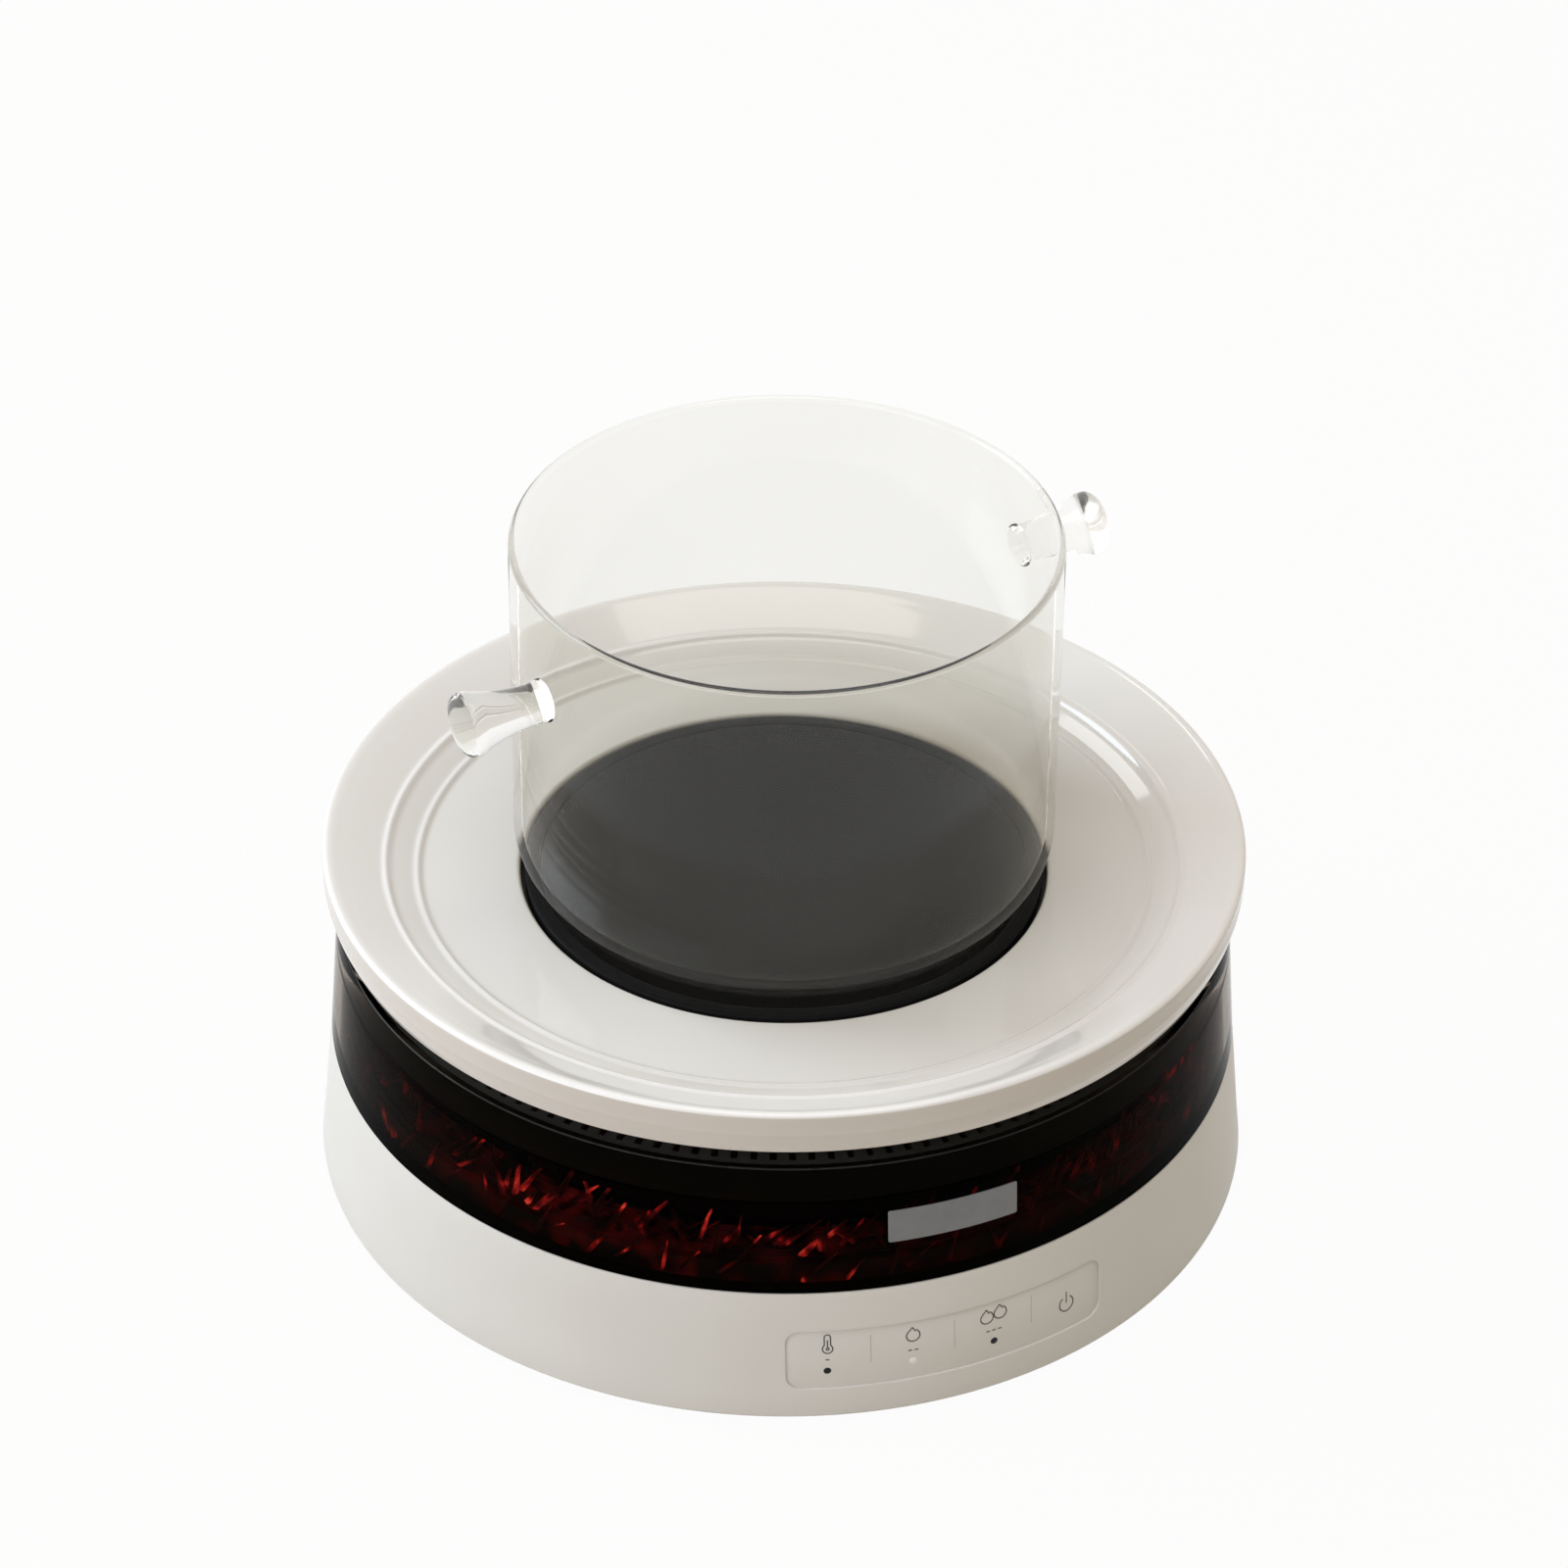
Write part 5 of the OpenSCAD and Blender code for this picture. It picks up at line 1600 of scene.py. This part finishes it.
@dataclass
class GlassPot:
    """Clear glass pot with two solid stub handles.

    Attributes:
        r: Outer radius.
        wall: Wall thickness.
        corner: Rounding of the lower corner.
        z: Height of the underside.
        z_rim: Height of the rim.
        handle_z: Height of the handles' axis.
        handle_angle: Angle of the handles in degrees.
        handle_l: Length of a handle.
        stem_r: Radius of a handle's stem.
        end_r: Radius of a handle's end.
        collar: Growth of the stem where it meets the wall.
        tip_r: Rounding of a handle's end.
    """

    r: float = 92.4
    wall: float = 3.0
    corner: float = 22.0
    z: float = 115.5
    z_rim: float = 247.3
    handle_z: float = 214.3
    handle_angle: float = 10.0
    handle_l: float = 31.0
    stem_r: float = 7.0
    end_r: float = 11.0
    collar: float = 0.6
    tip_r: float = 1.8

    def vessel(self) -> Piece:
        """Turns the pot's wall, floor and melted rim.

        Returns:
            The pot without its handles.
        """
        c, w = self.corner, self.wall
        rim = w / 2
        walls = [self.z + c + (self.z_rim - self.z - c) * share for share in (0.25, 0.5, 0.75)]
        section = [
            (0, self.z),
            (0.5 * (self.r - c), self.z),
            *arc(self.r - c, self.z + c, c, -90, 0, 16),
            *[(self.r, z) for z in walls],
            *arc(self.r - rim, self.z_rim - rim, rim, 0, 180, 12),
            *[(self.r - w, z) for z in reversed(walls)],
            *arc(self.r - c, self.z + c, c - w, 0, -90, 16),
            (0.5 * (self.r - c), self.z + w),
            (0, self.z + w),
        ]
        pot = turn("glass_pot_clear", section, 192)
        smooth(pot, 40)
        return pot

    def handles(self) -> Piece:
        """Turns one handle with a soft collar, a flared end and a rounded rim, and copies it.

        Returns:
            The two handles as one piece.
        """
        length, stem, tip = self.handle_l, self.stem_r, self.tip_r
        neck = 0.22 * length
        flare, widening = length - neck - 2 * tip, self.end_r - stem
        foot = [(stem + self.collar * (1 - i / 4) ** 2, 1.0 + 2.4 * i / 4) for i in range(5)]
        cone = [(stem + widening * (i / 12) ** 1.75, neck + flare * i / 12) for i in range(13)]
        section = [
            (0, 0.5),
            (stem + self.collar, 0.5),
            *foot,
            *cone,
            *arc(self.end_r - tip, length - tip, tip, 5, 78, 8),
            (self.end_r * 0.55, length + 0.25),
            (0, length + 0.38),
        ]
        up, out = (0, 0, self.handle_z * MM), (self.r * MM, 0, 0)
        places = [
            Matrix.Translation(up)
            @ Matrix.Rotation(math.radians(self.handle_angle + half_turn), 4, "Z")
            @ Matrix.Translation(out)
            @ Matrix.Rotation(math.pi / 2, 4, "Y")
            for half_turn in (0, 180)
        ]
        pair = copies("glass_handle_pair", turn("handle", section, 64), places)
        smooth(pair, 40)
        return pair

    def build(self) -> None:
        """Models and dresses the pot with its handles."""
        pot = self.vessel()
        hand_over(pot, GLASS, "glass_pot", body=Body.POT)
        z_rim, z_floor = self.z_rim - self.wall / 2, self.z + 0.5 * self.corner
        dress_part(pot, GLASS_RIM, lambda r, z, outwards: z > z_rim)
        dress_part(pot, GLASS_FLOOR, lambda r, z, outwards: z < z_floor)
        hand_over(self.handles(), HANDLE_GLASS, "pot_handles", body=Body.POT)


@dataclass
class InnerWorks:
    """Solids of the frame that stay in view and only need a finish.

    Attributes:
        finishes: Each finish with the names of its solids.
    """

    finishes: tuple[tuple[Finish, tuple[str, ...]], ...] = (
        (SHELL, ("base_plate",)),
        (VENT_BLACK, ("vent_deck",)),
        (DRUM, ("inner_drum",)),
        (RUBBER, ("tray_pads", "hob_gasket")),
        (SHEET, ("touch_springs", "heater_pan", "heat_limiter", "heater_bridge")),
        (BOARD, ("touch_board", "lamp_board", "power_board")),
        (LAMP, ("lamps",)),
        (INSULATION, ("heater_insulation",)),
        (RIBBON, ("heating_ribbon",)),
        (CERAMIC, ("terminal_block",)),
        (COPPER, ("transformer", "fan_stator")),
        (RELAY, ("relay",)),
        (SLEEVE, ("capacitors",)),
        (SINK, ("heat_sink",)),
        (FAN, ("fan_frame", "fan_impeller")),
        (LEAD, ("heater_leads", "inlet_leads", "panel_lead")),
        (SCREW, ("base_screws", "panel_screws", "deck_screws", "heater_springs")),
        (SCREW, ("bridge_screws", "board_screws", "fan_screws", "inlet_screws")),
    )

    def build(self) -> None:
        """Dresses the solids."""
        for finish, names in self.finishes:
            for name in names:
                dress(frame["nodes"][name], finish)
                log.info("%s: %s", name, finish.name)


@dataclass(frozen=True)
class Stand:
    """Place on a sphere round a point, from which a lamp or a camera looks at the point.

    Attributes:
        azimuth: Angle round the point in degrees, 0 in front and 90 on the right.
        elevation: Angle above the table in degrees.
        distance: Distance from the point in metres.
    """

    azimuth: float
    elevation: float
    distance: float

    def put(self, data: bpy.types.Light | bpy.types.Camera, aim: Vector) -> Piece:
        """Adds a lamp or a camera here.

        Args:
            data: The lamp or camera.
            aim: Point that it looks at, in metres.

        Returns:
            Its object.
        """
        a, e = math.radians(self.azimuth), math.radians(self.elevation)
        away = Vector((math.sin(a) * math.cos(e), -math.cos(a) * math.cos(e), math.sin(e)))
        obj = bpy.data.objects.new(data.name, data)
        bpy.context.scene.collection.objects.link(obj)
        obj.location = aim + away * self.distance
        obj.rotation_mode = "QUATERNION"
        obj.rotation_quaternion = (-away).to_track_quat("-Z", "Y")
        return obj


@dataclass(frozen=True)
class Lamp:
    """Soft light from a flat panel that faces the object.

    Attributes:
        name: Name of the light.
        stand: Where it stands.
        size: Width and height in metres.
        power: Power in watts.
        colour: Colour of the light.
    """

    name: str
    stand: Stand
    size: Point
    power: float
    colour: Colour

    def build(self, aim: Vector) -> None:
        """Adds the light, aimed at a point.

        Args:
            aim: Point in metres.
        """
        data = bpy.data.lights.new(self.name, "AREA")
        data.shape = "RECTANGLE"
        data.size, data.size_y = self.size
        data.energy = self.power
        data.color = self.colour
        self.stand.put(data, aim).visible_transmission = False


@dataclass
class Studio:
    """White studio with soft light and the photograph's camera.

    Attributes:
        view: Where the camera stands.
        roll: Turn of the camera about its own axis in degrees.
        aim: Point that the camera looks at, as a shift to the right and a height.
        lens: Focal length on the sensor.
        sensor: Width of the sensor.
        clip: Nearest and farthest distance that the camera sees, in metres.
        floor_size: Side of the floor in metres.
        floor_colour: Colour of the floor.
        floor_white: Share of plain white in the floor as it is seen.
        ambient: Colour of the light from all round.
        lamps: Lights.
        lamp_z: Height that the lights face, in metres.
    """

    view: Stand = Stand(-21.53, 34.94, 2.002)
    roll: float = 0.61
    aim: Point = (-0.2, 147.9)
    lens: float = 135.0
    sensor: float = 36.0
    clip: Point = (0.01, 50.0)
    floor_size: float = 14.0
    floor_colour: Colour = (0.62, 0.575, 0.5)
    floor_white: float = 0.965
    ambient: Colour = (0.33, 0.284, 0.21)
    lamps: tuple[Lamp, ...] = (
        Lamp("back_window", Stand(180, 46.6, 1.7), (0.12, 0.38), 0.48, (0.96, 0.98, 1.0)),
        Lamp("window", Stand(-127, 34, 1.7), (1.0, 0.8), 15.0, (0.79, 0.9, 1.0)),
        Lamp("left_fill", Stand(-66, 26, 1.8), (1.2, 0.8), 8.6, (0.85, 0.89, 1.0)),
        Lamp("front_fill", Stand(-5, 62, 1.8), (1.0, 1.0), 4.1, (0.78, 0.88, 1.0)),
        Lamp("top_fill", Stand(0, 88, 1.7), (1.1, 1.1), 7.5, (1.0, 0.91, 0.85)),
    )
    lamp_z: float = 0.1

    def empty(self) -> None:
        """Removes whatever the file held before the frame was loaded."""
        keep = {*frame["nodes"].values(), *frame["bodies"].values()}
        for obj in list(bpy.data.objects):
            if obj not in keep:
                bpy.data.objects.remove(obj)

    def camera(self) -> None:
        """Adds the camera."""
        data = bpy.data.cameras.new("camera")
        data.lens, data.sensor_width = self.lens, self.sensor
        data.clip_start, data.clip_end = self.clip
        a = math.radians(self.view.azimuth)
        right = Vector((math.cos(a), math.sin(a), 0))
        aim = (right * self.aim[0] + Vector((0, 0, self.aim[1]))) * MM
        camera = self.view.put(data, aim)
        camera.rotation_quaternion @= Quaternion((0, 0, 1), math.radians(self.roll))
        bpy.context.scene.camera = camera

    @staticmethod
    def seen(tree: Tree) -> Socket:
        """Adds nodes that tell the rays in which the background shows.

        Args:
            tree: Node tree of the floor or the world.

        Returns:
            1 for camera, mirror and see-through rays that met no dull surface, or else 0.
        """
        path = tree.nodes.new("ShaderNodeLightPath").outputs
        shows = path["Is Camera Ray"]
        for ray in ("Is Glossy Ray", "Is Transmission Ray"):
            shows = add_node(tree, "Math", {0: shows, 1: path[ray]}, operation="MAXIMUM")
        direct = add_node(tree, "Math", {0: path["Diffuse Depth"], 1: 0.5}, operation="LESS_THAN")
        return add_node(tree, "Math", {0: shows, 1: direct}, operation="MULTIPLY")

    def floor(self) -> None:
        """Adds the pale floor, which shows white and keeps the object's soft shadow."""
        plane = bpy.ops.mesh.primitive_plane_add
        floor = start("studio_floor", plane, size=self.floor_size, location=(0, 0, 0))
        material = bpy.data.materials.new("studio_floor")
        material.use_nodes = True
        tree = material.node_tree
        shader = tree.nodes["Principled BSDF"]
        colour = (*self.floor_colour, 1)
        feed(shader, {"Base Color": colour, "Roughness": 0.9, "Specular IOR Level": 0.0})
        share = add_node(
            tree, "Math", {0: self.seen(tree), 1: self.floor_white}, operation="MULTIPLY"
        )
        both = {"Fac": share, 1: shader.outputs["BSDF"], 2: add_node(tree, "Emission", {})}
        feed(tree.nodes["Material Output"], {"Surface": add_node(tree, "MixShader", both)})
        floor.data.materials.append(material)
        floor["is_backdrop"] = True

    def world(self) -> None:
        """Sets the white background and the even light from all round."""
        world = bpy.data.worlds.new("studio")
        bpy.context.scene.world = world
        world.use_nodes = True
        tree = world.node_tree
        tree.nodes.clear()
        even = add_node(tree, "Background", {"Color": (*self.ambient, 1)})
        white = add_node(tree, "Background", {"Color": (1, 1, 1, 1)})
        both = {"Fac": self.seen(tree), 1: even, 2: white}
        output = tree.nodes.new("ShaderNodeOutputWorld")
        feed(output, {"Surface": add_node(tree, "MixShader", both)})

    def build(self) -> None:
        """Sets up the camera, the background and the lights."""
        self.camera()
        self.floor()
        self.world()
        for lamp in self.lamps:
            lamp.build(Vector((0, 0, self.lamp_z)))
        bpy.context.scene.view_settings.view_transform = "Standard"


def corners() -> list[list[float]]:
    """Lowest and highest corner of what is shown, as plain lists."""
    return [list(corner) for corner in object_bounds()]


def main() -> None:
    """Builds the studio and all sub-assemblies in order."""
    logging.basicConfig(level=logging.INFO, format="%(name)s %(message)s")
    studio = Studio()
    studio.empty()
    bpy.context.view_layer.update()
    studio.build()
    shell = Shell()
    housing = Housing(shell, MainsInlet(), ControlPanel(shell))
    for part in (housing, EmberBand(shell), Hob(), RingTray(), GlassPot(), InnerWorks()):
        part.build()


if __name__ == "__main__":
    main()
